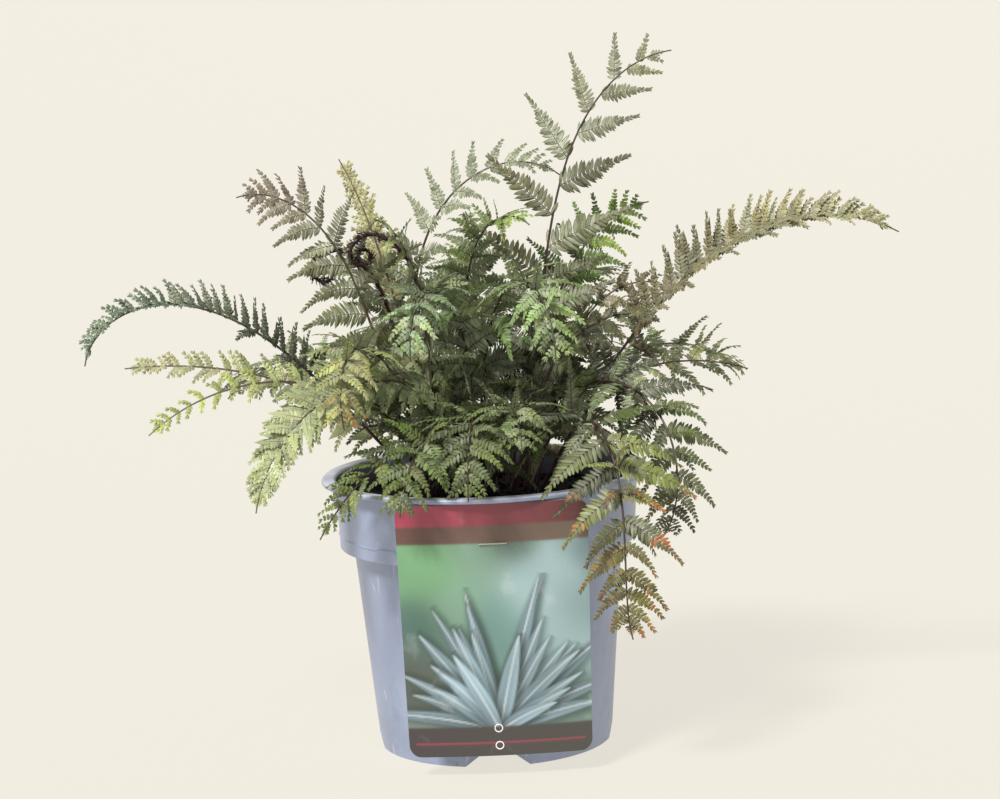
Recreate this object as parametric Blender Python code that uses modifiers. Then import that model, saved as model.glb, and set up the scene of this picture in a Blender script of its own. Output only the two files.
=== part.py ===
"""A Japanese painted fern growing in its two-litre nursery pot.

Every frond leaves the root ball through its own hole, leans out, arches over and carries two ranks
of alternate pinnae, each one thin arched blade cut to its rib.  The origin is the middle of the
pot's base, on the ground; +Z is up and the label hangs on the -Y side.  Metres.
"""
import math
import random
from collections import namedtuple

import bmesh
import bpy
import numpy as np
from mathutils import Matrix, Vector, noise
from mathutils.bvhtree import BVHTree

OBJECT_NAME = "painted_fern"
SEED = 7

# Nursery pot, turned about the vertical axis.
RIM_RADIUS = 0.085
POT_HEIGHT = 0.142
FOOT_RADIUS = 0.0606
WALL = 0.0013
LIP_DEPTH = 0.0024
COLLAR_RADIUS = 0.0789
COLLAR_WAIST = 0.0769
COLLAR_BOTTOM = 0.105
BEAD_HEIGHT = 0.112
BEAD_DEPTH = 0.0007
BODY_TOP_RADIUS = 0.0698
FOOT_WIDTH = 0.0031
BASE_LIFT = 0.005
PAD_RADIUS = 0.012
POT_SIDES = 36
NOTCH_COUNT = 4
NOTCH_BOTTOM = 0.038
NOTCH_TOP = 0.018
NOTCH_HEIGHT = 0.0062

# Root ball.
FIT_GAP = 0.0004
SOIL_TOP = 0.127
SOIL_DOME = 0.004
SOIL_ROUGHNESS = 0.0016
SOIL_SIDES = 18
SOIL_RINGS = 5
HOLE_DEPTH = 0.010
HOLE_SIDES = 4
ROOT_SPACING = 0.0068

# Printed card, hung on the collar by one wire staple.
CARD_WIDTH = 0.0955
CARD_TAPER = 0.0045
CARD_BOTTOM = 0.0115
CARD_TOP = 0.1388
CARD_BEND = 0.27
CARD_CENTRE = 0.002
CARD_CORNER = 0.006
CARD_THICKNESS = 0.0008
CARD_COLUMNS = 9
STAPLE_WIDTH = 0.0135
STAPLE_HEIGHT = 0.119
STAPLE_WIRE = 0.0008
STAPLE_POCKET = 0.003

# Fronds.
STEM_SAMPLES = 120
STIPE_SEGMENTS = 5
STEM_RADIUS = 0.0012
TIP_RADIUS = 0.0006
RACHIS_WIDTH = 0.0017
RACHIS_SUNK = 0.009
BLADE = 0.0008
CLEARANCE = 0.0003
STEM_CLEARANCE = 0.0007
POT_CLEARANCE = 0.0035
PATH_STEP = 0.0012
RIB_WIDTH = 0.0011
CUT_DEPTH = 0.74
STRIP_TURN = 40.0
PINNA_ROOT = 0.0020
PINNA_CROWDING = 1.6
SHORTEST_PINNA = 0.006
PAIR_LENGTHS = (0.0115, 0.0235, 0.047)
TIP_ANGLE = 40.0
LEAFLET_REACH = 0.18
LEAFLET_SWEEP = 0.74
LEAFLET_DROOP = 0.15
SAG = 34.0

Frond = namedtuple("Frond", "name azimuth length lean arch late veer root twist reach bare count spread fold sag",
                   defaults=(72, 0, 1))

# Angles in degrees.  azimuth: heading from +X; lean: start, from the vertical; arch: turned by the
# tip; late: how late it turns; veer: sideways turn; root: distance from the axis; twist: of the
# blade; reach: longest pinna; bare: bare share of the stem; count: pinnae; spread: angle between the
# lowest pinnae and the stem; fold: how far the pinnae are raised above the blade's plane.
NAMED_FRONDS = [
    Frond("frond_tall_right", 5, 0.254, 7, 78, 4.5, -12, 0.021, 72, 0.055, 0.36, 13, 58, 8, 0.15),
    Frond("frond_arch_middle", -15, 0.223, -7, 137, 3.0, 17, -0.026, 40, 0.034, 0.42, 12, 64, 12),
    Frond("frond_left_arch", -169, 0.230, 40, 130, 3.6, 0, 0.028, -35, 0.020, 0.34, 18, 48, 36),
    Frond("frond_left_low", -157, 0.190, 18, 110, 1.0, -2, 0.024, -65, 0.016, 0.34, 13, 62, 10),
    Frond("frond_left_back", 164, 0.199, 36, 60, 0.8, -7, 0.016, -62, 0.016, 0.42, 12, 60, 10),
    Frond("frond_left_upper", -178, 0.199, 13, 93, 4.5, 16, 0.032, -60, 0.046, 0.42, 11),
    Frond("frond_left_pale", 162, 0.184, 15, 19, 4.0, -4, 0.021, -80, 0.015, 0.56, 13, 52),
    Frond("frond_left_drop", -139, 0.202, -5, 172, 0.9, -9, 0.004, -48, 0.028, 0.33, 16, 54, 8),
    Frond("frond_rim_left", -104, 0.172, 22, 125, 0.8, -50, -0.019, -15, 0.036, 0.30, 11, 62, 6),
    Frond("frond_front_left", -109, 0.133, 12, 156, 1.1, -9, 0.013, -12, 0.046, 0.26, 10),
    Frond("frond_front_centre", -91, 0.134, 14, 166, 1.4, -8, 0.017, 0, 0.046, 0.26, 10),
    Frond("frond_front_middle", -76, 0.118, 28, 136, 2.2, -7, 0.013, 6, 0.042, 0.28, 8),
    Frond("frond_rim_right", -39, 0.224, 4, 221, 0.9, -66, 0.019, 10, 0.052, 0.34, 12),
    Frond("frond_right_mass", -25, 0.204, 15, 221, 1.4, -41, 0.015, 22, 0.048, 0.32, 12),
    Frond("frond_right_flat", 19, 0.156, 26, 84, 1.0, -10, 0.015, 35, 0.040, 0.36, 9),
    Frond("frond_right_arch", -8, 0.253, 30, 90, 2.4, 5, 0.028, 42, 0.027, 0.38, 18, 48, 34),
    Frond("frond_right_dark", -36, 0.136, 0, 103, 1.9, -2, 0.027, 30, 0.038, 0.30, 9),
    Frond("frond_right_brown", 9, 0.142, 13, 106, 3.5, -9, 0.026, 40, 0.038, 0.30, 8),
    Frond("frond_right_green", 25, 0.174, 13, 70, 3.5, -18, 0.017, 55, 0.040, 0.40, 10),
    Frond("frond_centre_face", -58, 0.205, -16, 205, 1.8, -14, 0.010, 10, 0.046, 0.32, 11),
    Frond("frond_centre_blue", -150, 0.182, -20, 205, 2.0, 36, 0.018, 0, 0.044, 0.32, 10),
    Frond("frond_left_tan", -150, 0.168, 14, 215, 2.6, 55, 0.030, -10, 0.042, 0.34, 10),
    Frond("frond_top_left", -149, 0.166, -8, 82, 3.1, 20, 0.031, -35, 0.042, 0.36, 9),
    Frond("frond_top_middle", -70, 0.176, -7, 133, 3.8, 27, -0.010, 15, 0.044, 0.36, 10),
    Frond("young_frond_left", 176, 0.190, 10, 560, 7.0, 8, 0.028, 0, 0.013, 0.72, 6),
    Frond("young_frond_middle", -172, 0.196, 3, 600, 7.0, 4, 0.024, 0, 0.012, 0.72, 6),
]

# Rings of further fronds, placed by rule round the back and the sides.
Ring = namedtuple("Ring", "count first_azimuth span length lean arch late root reach pinnae")
RINGS = [
    Ring(4, 38, 104, 0.190, 24, 118, 1.2, 0.030, 0.044, 9),
    Ring(3, 56, 80, 0.178, 14, 96, 2.0, 0.022, 0.042, 9),
    Ring(1, 84, 0, 0.160, 6, 70, 2.6, 0.016, 0.040, 9),
]

# Ways to bend a pinna clear, in order: swing, lift in degrees, and share of its length.
PINNA_BENDS = [(0, 0, 1.0), (0, 16, 1.0), (0, -16, 1.0), (12, 0, 1.0), (-12, 0, 1.0), (0, 32, 1.0),
               (0, -32, 1.0), (14, 18, 0.9), (-14, -18, 0.9), (14, -18, 0.9), (-14, 18, 0.9),
               (0, 50, 0.85), (0, -50, 0.85), (0, 0, 0.7), (0, 25, 0.7), (0, -25, 0.7),
               (20, 0, 0.6), (-20, 0, 0.6), (0, 45, 0.6), (0, -45, 0.6), (0, 0, 0.45),
               (0, 30, 0.45), (0, -30, 0.45)]
# Ways to lead a stem clear: degrees of azimuth and of lean.
STEM_BENDS = [(a, b) for b in (0, 3, -3, 6, -6, 9, -9, 13, -13)
              for a in (0, 4, -4, 8, -8, 12, -12, 18, -18)]


def clear_file():
    for obj in list(bpy.data.objects):
        bpy.data.objects.remove(obj, do_unlink=True)


def new_collection(name):
    collection = bpy.data.collections.new(name)
    bpy.context.scene.collection.children.link(collection)
    return collection


def material(name, colour, roughness, metallic=0.0):
    mat = bpy.data.materials.new(name)
    mat.use_nodes = True
    shader = mat.node_tree.nodes["Principled BSDF"]
    shader.inputs["Base Color"].default_value = (*colour, 1.0)
    shader.inputs["Roughness"].default_value = roughness
    shader.inputs["Metallic"].default_value = metallic
    mat.diffuse_color = (*colour, 1.0)
    return mat


def add_object(name, data, collection, mat=None):
    obj = bpy.data.objects.new(name, data)
    collection.objects.link(obj)
    if mat:
        data.materials.append(mat)
    return obj


def evaluated_mesh(obj):
    """The object's mesh with its modifiers applied, as a new mesh."""
    bpy.context.view_layer.update()
    graph = bpy.context.evaluated_depsgraph_get()
    return bpy.data.meshes.new_from_object(obj.evaluated_get(graph))


def turn_profile(obj, sides):
    screw = obj.modifiers.new("turn", "SCREW")
    screw.axis = "Z"
    screw.steps = sides
    screw.render_steps = sides
    screw.use_merge_vertices = True
    screw.merge_threshold = 0.00001
    screw.use_smooth_shade = False


def profile_mesh(name, points):
    """An open polyline in the XZ plane, ready to be turned."""
    bm = bmesh.new()
    verts = [bm.verts.new((r, 0.0, z)) for r, z in points]
    for a, b in zip(verts, verts[1:]):
        bm.edges.new((a, b))
    mesh = bpy.data.meshes.new(name)
    bm.to_mesh(mesh)
    bm.free()
    return mesh


def bake(obj):
    """Replace the object's mesh by its evaluated one and drop the modifiers."""
    mesh = evaluated_mesh(obj)
    obj.modifiers.clear()
    obj.data = mesh


def cut(obj, cutters):
    """Take every object of the collection away from obj."""
    boolean = obj.modifiers.new("cut", "BOOLEAN")
    boolean.operation = "DIFFERENCE"
    boolean.operand_type = "COLLECTION"
    boolean.collection = cutters
    boolean.solver = "EXACT"


def cutter_collection(name):
    collection = new_collection(name)
    collection.hide_render = True
    return collection


def add_cutter(name, bm, collection):
    mesh = bpy.data.meshes.new(name)
    bm.to_mesh(mesh)
    bm.free()
    obj = add_object(name, mesh, collection)
    obj.hide_render = True
    obj.display_type = "WIRE"
    return obj


def inner_wall():
    """Radius and height of the inside of the pot, from its floor to its rim."""
    return [(FOOT_RADIUS - WALL, BASE_LIFT + WALL),
            (BODY_TOP_RADIUS - WALL, COLLAR_BOTTOM + WALL),
            (COLLAR_WAIST - WALL, COLLAR_BOTTOM + 2 * WALL),
            (COLLAR_RADIUS - WALL, POT_HEIGHT - WALL)]


def outer_wall():
    """Radius and height of the outside of the pot, from its rim to its foot."""
    lip_under = POT_HEIGHT - LIP_DEPTH
    return [(COLLAR_RADIUS, POT_HEIGHT), (RIM_RADIUS - 0.0009, POT_HEIGHT),
            (RIM_RADIUS, POT_HEIGHT - 0.0009), (RIM_RADIUS, lip_under), (COLLAR_RADIUS, lip_under),
            (COLLAR_WAIST, BEAD_HEIGHT + 2 * BEAD_DEPTH),
            (COLLAR_WAIST + BEAD_DEPTH, BEAD_HEIGHT + BEAD_DEPTH), (COLLAR_WAIST, BEAD_HEIGHT),
            (COLLAR_WAIST, COLLAR_BOTTOM + 0.0008), (BODY_TOP_RADIUS, COLLAR_BOTTOM),
            (FOOT_RADIUS, 0.0), (FOOT_RADIUS - FOOT_WIDTH, 0.0),
            (FOOT_RADIUS - FOOT_WIDTH - 0.0005, BASE_LIFT)]


def notch_cutter(index, cutters):
    """A trapezoid prism through the foot ring, wider at the ground."""
    bm = bmesh.new()
    low, high = -0.002, NOTCH_HEIGHT
    corners = [(-NOTCH_BOTTOM / 2, low), (NOTCH_BOTTOM / 2, low), (NOTCH_TOP / 2, high), (-NOTCH_TOP / 2, high)]
    near, far = FOOT_RADIUS - FOOT_WIDTH - 0.004, FOOT_RADIUS + 0.006
    face = bm.faces.new([bm.verts.new((near, y, z)) for y, z in corners])
    grown = bmesh.ops.extrude_face_region(bm, geom=[face])
    verts = [v for v in grown["geom"] if isinstance(v, bmesh.types.BMVert)]
    bmesh.ops.translate(bm, vec=(far - near, 0, 0), verts=verts)
    bmesh.ops.recalc_face_normals(bm, faces=bm.faces)
    turn = Matrix.Rotation(math.radians(-90 + 360 * index / NOTCH_COUNT), 4, "Z")
    bmesh.ops.transform(bm, matrix=turn, verts=bm.verts)
    add_cutter(f"notch_{index}", bm, cutters)


def build_pot(parts, mat):
    floor = BASE_LIFT + WALL
    profile = [(0.0, floor)] + inner_wall() + outer_wall()
    profile += [(PAD_RADIUS + 0.001, BASE_LIFT), (PAD_RADIUS, 0.0), (0.0, 0.0)]
    pot = add_object("pot", profile_mesh("pot", profile), parts, mat)
    turn_profile(pot, POT_SIDES)
    cutters = cutter_collection("pot_notches")
    for index in range(NOTCH_COUNT):
        notch_cutter(index, cutters)
    cut(pot, cutters)
    return pot


def soil_height(x, y):
    """Height of the root ball's surface, domed in the middle and crumbly."""
    share = min(1.0, math.hypot(x, y) / COLLAR_WAIST)
    bumps = noise.noise(Vector((x * 55, y * 55, 3.1))) * SOIL_ROUGHNESS * (1 - share ** 4)
    return SOIL_TOP + SOIL_DOME * (1 - share * share) + bumps


def build_soil(parts, mat):
    edge_radius = COLLAR_WAIST - WALL - FIT_GAP
    walls = [(r - FIT_GAP, z + FIT_GAP) for r, z in inner_wall()[:3]]
    top = [(edge_radius * i / SOIL_RINGS, SOIL_TOP) for i in range(SOIL_RINGS, -1, -1)]
    profile = [(0.0, BASE_LIFT + WALL + FIT_GAP)] + walls + top
    soil = add_object("soil", profile_mesh("soil", profile), parts, mat)
    turn_profile(soil, SOIL_SIDES)
    bake(soil)
    for vertex in soil.data.vertices:
        if vertex.co.z > SOIL_TOP - 0.001 and math.hypot(vertex.co.x, vertex.co.y) < edge_radius * 0.98:
            vertex.co.z = soil_height(vertex.co.x, vertex.co.y)
    return soil


def hole_cutter(name, foot, along, radius, cutters):
    """The plain hole that one stem stands in."""
    bm = bmesh.new()
    length = HOLE_DEPTH + 0.012
    bmesh.ops.create_cone(bm, cap_ends=True, segments=HOLE_SIDES, radius1=radius, radius2=radius, depth=length)
    middle = foot + along * (length / 2 - HOLE_DEPTH - FIT_GAP)
    turn = along.to_track_quat("Z", "Y").to_matrix().to_4x4()
    bmesh.ops.transform(bm, matrix=Matrix.Translation(middle) @ turn, verts=bm.verts)
    add_cutter(name, bm, cutters)


def card_front(x):
    """Y of the card's middle surface: a shallow arc that touches the collar at its centre."""
    touch = -(COLLAR_RADIUS + FIT_GAP + CARD_THICKNESS / 2)
    across = x - CARD_CENTRE
    return touch - CARD_THICKNESS * 0.5 + CARD_BEND - math.sqrt(CARD_BEND ** 2 - across ** 2)


def build_label(parts, mat):
    """A card with round corners, bent to an arc in plan."""
    bm = bmesh.new()
    half = CARD_WIDTH / 2
    columns = []
    for i in range(CARD_COLUMNS + 1):
        across = -half * math.cos(math.pi * i / CARD_COLUMNS)
        inset = max(0.0, abs(across) - (half - CARD_CORNER))
        lift = CARD_CORNER - math.sqrt(max(0.0, CARD_CORNER ** 2 - inset ** 2))
        ends = []
        for width, height in ((1 - CARD_TAPER / CARD_WIDTH, CARD_BOTTOM + lift), (1.0, CARD_TOP - lift)):
            x = CARD_CENTRE + across * width
            ends.append(bm.verts.new((x, card_front(x), height)))
        columns.append(ends)
    for left, right in zip(columns, columns[1:]):
        bm.faces.new((left[0], right[0], right[1], left[1]))
    mesh = bpy.data.meshes.new("label")
    bm.to_mesh(mesh)
    bm.free()
    label = add_object("label", mesh, parts, mat)
    solid = label.modifiers.new("card", "SOLIDIFY")
    solid.thickness = CARD_THICKNESS
    solid.offset = 0.0
    return label


def tube(name, points, radii, collection, mat=None, sides=4):
    """A round wire or stem through the points, as a closed mesh."""
    curve = bpy.data.curves.new(name, "CURVE")
    curve.dimensions = "3D"
    curve.bevel_depth = 1.0
    curve.bevel_resolution = sides // 2 - 2
    curve.use_fill_caps = True
    spline = curve.splines.new("POLY")
    spline.points.add(len(points) - 1)
    for slot, point, radius in zip(spline.points, points, radii):
        slot.co = (*point, 1.0)
        slot.radius = radius
    source = bpy.data.objects.new(name + "_curve", curve)
    collection.objects.link(source)
    mesh = evaluated_mesh(source)
    bpy.data.objects.remove(source, do_unlink=True)
    bm = bmesh.new()
    bm.from_mesh(mesh)
    bmesh.ops.remove_doubles(bm, verts=bm.verts, dist=0.000001)
    bmesh.ops.recalc_face_normals(bm, faces=bm.faces)
    bm.to_mesh(mesh)
    bm.free()
    mesh.name = name
    return add_object(name, mesh, collection, mat)


def build_staple(parts, mat, pot, label, soil):
    """A staple through the card and the collar, clinched in a pocket of the root ball."""
    half = STAPLE_WIDTH / 2
    front = card_front(CARD_CENTRE) - CARD_THICKNESS / 2 - FIT_GAP - STAPLE_WIRE / 2
    back = -(COLLAR_WAIST - WALL) + 0.0028 + STAPLE_WIRE
    points = []
    for side in (-1, 1):
        leg = [(CARD_CENTRE + side * (half - 0.004), back, STAPLE_HEIGHT),
               (CARD_CENTRE + side * half, back - 0.0006, STAPLE_HEIGHT),
               (CARD_CENTRE + side * half, front, STAPLE_HEIGHT)]
        points += leg if side < 0 else leg[::-1]
    staple = tube("label_staple", points, [STAPLE_WIRE / 2] * len(points), parts, mat, sides=6)
    cutters = cutter_collection("staple_holes")
    for side in (-1, 1):
        bm = bmesh.new()
        radius = STAPLE_WIRE / 2 + FIT_GAP
        bmesh.ops.create_cone(bm, cap_ends=True, segments=6, radius1=radius, radius2=radius, depth=0.012)
        place = Matrix.Translation((CARD_CENTRE + side * half, -COLLAR_WAIST, STAPLE_HEIGHT))
        bmesh.ops.transform(bm, matrix=place @ Matrix.Rotation(math.pi / 2, 4, "X"), verts=bm.verts)
        add_cutter(f"staple_hole_{side}", bm, cutters)
    cut(pot, cutters)
    cut(label, cutters)
    pockets = cutter_collection("staple_pocket")
    bm = bmesh.new()
    bmesh.ops.create_cube(bm, size=1.0)
    room = Matrix.Diagonal((STAPLE_WIDTH + STAPLE_POCKET, 2 * STAPLE_POCKET, STAPLE_POCKET, 1.0))
    place = Matrix.Translation((CARD_CENTRE, back - STAPLE_POCKET / 2, STAPLE_HEIGHT))
    bmesh.ops.transform(bm, matrix=place @ room, verts=bm.verts)
    add_cutter("staple_pocket", bm, pockets)
    cut(soil, pockets)
    return staple


def ring_fronds():
    """The fronds placed by rule: even steps round each ring, with a seeded scatter."""
    draw = random.Random(SEED)
    fronds = []
    for ring in RINGS:
        for i in range(ring.count):
            azimuth = ring.first_azimuth + ring.span * i / max(1, ring.count - 1) + draw.uniform(-6, 6)
            length = ring.length * draw.uniform(0.92, 1.06)
            lean = ring.lean + draw.uniform(-4, 4)
            arch = ring.arch + draw.uniform(-12, 12)
            twist = draw.uniform(-15, 15)
            name = f"frond_back_{len(fronds) + 1}"
            fronds.append(Frond(name, azimuth, length, lean, arch, ring.late, draw.uniform(-12, 12),
                                ring.root, twist, ring.reach, 0.36, ring.pinnae))
    return fronds


def stem_frame(frond, u):
    """Direction, side and upper face of a frond at the share u of its length."""
    lean = math.radians(frond.lean + frond.arch * u ** frond.late)
    heading = math.radians(frond.azimuth + frond.veer * u)
    along = Vector((math.sin(lean) * math.cos(heading), math.sin(lean) * math.sin(heading), math.cos(lean)))
    side = Vector((-math.sin(heading), math.cos(heading), 0.0))
    turn = Matrix.Rotation(math.radians(frond.twist), 3, along)
    return along, turn @ side, turn @ along.cross(side)


def stem_path(frond, foot):
    """Points along the stem, from the soil to the tip."""
    points = [Vector(foot)]
    for i in range(STEM_SAMPLES):
        along = stem_frame(frond, (i + 0.5) / STEM_SAMPLES)[0]
        points.append(points[-1] + along * frond.length / STEM_SAMPLES)
    return points


def point_on(path, u):
    """The point of the stem at the share u of its length."""
    at = u * STEM_SAMPLES
    low = min(STEM_SAMPLES - 1, int(at))
    return path[low].lerp(path[low + 1], at - low)


def stem_radius(u):
    return STEM_RADIUS + (TIP_RADIUS - STEM_RADIUS) * u


def spread_roots(fronds):
    """Feet of the stems, pushed apart until each can have its own hole."""
    feet = []
    for frond in fronds:
        heading = math.radians(frond.azimuth)
        feet.append(np.array([math.cos(heading), math.sin(heading)]) * frond.root)
    for _ in range(200):
        for i in range(len(feet)):
            for j in range(i):
                apart = feet[i] - feet[j]
                distance = max(1e-6, float(np.hypot(*apart)))
                if distance < ROOT_SPACING:
                    push = apart / distance * (ROOT_SPACING - distance) / 2
                    feet[i] = feet[i] + push
                    feet[j] = feet[j] - push
    return [Vector((x, y, soil_height(x, y))) for x, y in feet]


def dense(path):
    """Closely spaced points along a polyline, as an array."""
    pieces = []
    for a, b in zip(path, path[1:]):
        count = max(1, int((b - a).length / PATH_STEP))
        pieces += [a.lerp(b, i / count) for i in range(count)]
    return np.array([tuple(p) for p in pieces + [path[-1]]])


def clear_of_pot(points):
    """True where no point of a stem comes near the pot's wall, the lip or the card."""
    radius = np.hypot(points[:, 0], points[:, 1])
    inside = radius < COLLAR_WAIST - WALL - POT_CLEARANCE
    outside = radius > RIM_RADIUS + POT_CLEARANCE
    ahead_of_card = points[:, 1] - card_front(0)
    card = (ahead_of_card > -2 * POT_CLEARANCE) & (ahead_of_card < POT_CLEARANCE)
    card &= abs(points[:, 0] - CARD_CENTRE) < CARD_WIDTH / 2 + POT_CLEARANCE
    card &= points[:, 2] < CARD_TOP + POT_CLEARANCE
    above = points[:, 2] > POT_HEIGHT + POT_CLEARANCE
    out_of_soil = np.arange(len(points)) * PATH_STEP > SOIL_DOME + HOLE_DEPTH
    buried = inside & out_of_soil & (points[:, 2] < SOIL_TOP + SOIL_DOME + SOIL_ROUGHNESS)
    return bool(np.all((above | inside | outside) & ~card & ~buried))


def settle_stems(fronds, feet):
    """Lead every stem clear of the pot and of the stems before it."""
    settled, paths, filled = [], [], []
    for frond, foot in zip(fronds, feet):
        for turn, tilt in STEM_BENDS:
            bent = frond._replace(azimuth=frond.azimuth + turn, lean=frond.lean + tilt)
            path = stem_path(bent, foot)
            points = dense(path)
            if not clear_of_pot(points):
                continue
            gaps = [np.min(np.linalg.norm(points[:, None] - other[None], axis=2)) for other in filled]
            if not gaps or min(gaps) > 2 * STEM_RADIUS + STEM_CLEARANCE:
                break
        else:
            raise ValueError(f"no clear way for {frond.name}")
        settled.append(bent)
        paths.append(path)
        filled.append(points)
    return settled, paths


def pinna_stations(frond):
    """Share of the stem, side, angle and length of every pinna, from the lowest up."""
    stations = []
    for i in range(frond.count):
        t = i / frond.count
        u = frond.bare + (0.96 - frond.bare) * (1 - (1 - t) ** PINNA_CROWDING)
        angle = frond.spread + (TIP_ANGLE - frond.spread) * t
        length = frond.reach * (1 - t) ** 0.75 * min(1.0, 0.82 + 1.2 * t)
        stations.append((u, 1 if i % 2 else -1, angle, max(SHORTEST_PINNA, length)))
    return stations


def leaflet_pairs(length):
    """Pairs of leaflets that a pinna of this length is cut into, below its end leaflet."""
    return sum(length > limit for limit in PAIR_LENGTHS)


def rachis_edge(frond, path, u, hand):
    """A point on one edge of the flat rachis."""
    side = stem_frame(frond, u)[1]
    return point_on(path, u) + side * hand * (RACHIS_WIDTH / 2) * (1.15 - 0.55 * u)


def root_shares(frond, u):
    """Where a pinna's root begins and ends along the stem."""
    half = PINNA_ROOT / 2 / frond.length
    return u - half, u + half


def pinna_surface(frond, path, station, bend):
    """The pinna's middle surface: vertices, their normals and its triangles, root pair first."""
    u, hand, angle, length = station
    swing, lift, share = bend
    length *= share
    along, side, upper = stem_frame(frond, u)
    angle = math.radians(angle + swing)
    heading = along * math.cos(angle) + side * hand * math.sin(angle)
    tilt = math.radians(lift + frond.fold)
    normal = upper * math.cos(tilt) - heading * math.sin(tilt)
    heading = heading * math.cos(tilt) + upper * math.sin(tilt)
    pairs = leaflet_pairs(length)
    step = length / (pairs + 1)
    axis = heading.cross(Vector((0, 0, -1)))
    level = axis.length
    axis = axis.normalized() if level > 0.05 else side
    turn = Matrix.Rotation(math.radians(SAG * frond.sag * level / (pairs + 1)), 3, axis)
    begin, end = [rachis_edge(frond, path, edge, hand) for edge in root_shares(frond, u)]
    place = (begin + end) / 2
    verts = [begin, end] if hand > 0 else [end, begin]
    normals = [upper, upper]
    faces = []
    for i in range(pairs):
        across = normal.cross(heading)
        reach = length * LEAFLET_REACH * (1 - i / (pairs + 1)) ** 0.7 * (0.9 if pairs == 1 else 1.0)
        out = place + heading * step * LEAFLET_SWEEP - normal * reach * LEAFLET_DROOP
        verts += [out + across * reach, out - across * reach]
        place = place + heading * step
        heading = turn @ heading
        normal = turn @ normal
        across = normal.cross(heading)
        half = RIB_WIDTH / 2 + reach * (1 - CUT_DEPTH)
        verts += [place + across * half, place - across * half]
        normals += [normal] * 4
        a, b, c, d, e, f = [4 * i + k for k in range(6)]
        faces += [(a, b, f), (a, f, e), (a, e, c), (b, d, f)]
    verts.append(place + heading * step)
    normals.append(normal)
    last = len(verts) - 1
    faces.append((last - 2, last - 1, last))
    return verts, normals, faces


def shell(surface, half, beyond_root=False):
    """A closed thick copy of a surface, as vertices and triangles, for clearance tests."""
    verts, normals, faces = surface
    if beyond_root:
        faces = [face for face in faces if min(face) > 1]
    count = len(verts)
    points = [v + n * half for v, n in zip(verts, normals)] + [v - n * half for v, n in zip(verts, normals)]
    polygons = list(faces) + [(a + count, c + count, b + count) for a, b, c in faces]
    edges = set()
    for a, b, c in faces:
        edges ^= {frozenset((a, b))}
        edges ^= {frozenset((b, c))}
        edges ^= {frozenset((c, a))}
    for a, b in sorted(tuple(sorted(edge)) for edge in edges):
        polygons += [(a, b, b + count), (a, b + count, a + count)]
    return points, polygons


def stem_shell(path, margin):
    """A four-sided sleeve round a stem, for clearance tests."""
    points, polygons = [], []
    for i, point in enumerate(path):
        ahead = (path[min(i + 1, len(path) - 1)] - path[max(i - 1, 0)]).normalized()
        radius = (stem_radius(i / (len(path) - 1)) + margin) * 1.2
        across = ahead.orthogonal().normalized()
        other = ahead.cross(across)
        points += [point + across * radius, point + other * radius, point - across * radius, point - other * radius]
        if i:
            for k in range(4):
                a, b = 4 * (i - 1) + k, 4 * (i - 1) + (k + 1) % 4
                polygons += [(a, b, b + 4), (a, b + 4, a + 4)]
    return points, polygons


def tree_of(shells):
    points, polygons = [], []
    for some_points, some_polygons in shells:
        start = len(points)
        points += some_points
        polygons += [tuple(start + k for k in polygon) for polygon in some_polygons]
    return BVHTree.FromPolygons(points, polygons)


def tree_of_object(obj):
    mesh = evaluated_mesh(obj)
    points = [v.co.copy() for v in mesh.vertices]
    polygons = [tuple(p.vertices) for p in mesh.polygons]
    bpy.data.meshes.remove(mesh)
    return BVHTree.FromPolygons(points, polygons)


def place_pinnae(fronds, paths, obstacles):
    """For every frond its pinnae, each bent clear of all that is there before it."""
    stems = [tree_of([stem_shell(path, CLEARANCE)]) for path in paths]
    placed = []
    result = []
    for index, (frond, path) in enumerate(zip(fronds, paths)):
        others = obstacles + placed + stems[:index] + stems[index + 1:]
        pinnae = []
        siblings = []
        for station in pinna_stations(frond):
            for bend in PINNA_BENDS:
                surface = pinna_surface(frond, path, station, bend)
                probe = tree_of([shell(surface, BLADE / 2 + CLEARANCE)])
                if any(probe.overlap(tree) for tree in others + siblings):
                    continue
                if tree_of([shell(surface, BLADE / 2, True)]).overlap(stems[index]):
                    continue
                pinnae.append((station, surface))
                siblings.append(tree_of([shell(surface, BLADE / 2)]))
                break
        placed.append(tree_of([shell(surface, BLADE / 2) for _, surface in pinnae]))
        result.append(pinnae)
    return result


def turning_shares(frond, shares):
    """Shares to add between the given ones wherever the stem turns much from one to the next."""
    added = []
    for low, high in zip(shares, shares[1:]):
        turned = [frond.arch * share ** frond.late for share in (low, high)]
        pieces = int((turned[1] - turned[0]) / STRIP_TURN) + 1
        for k in range(1, pieces):
            turn = turned[0] + (turned[1] - turned[0]) * k / pieces
            added.append((turn / frond.arch) ** (1 / frond.late))
    return added


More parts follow.
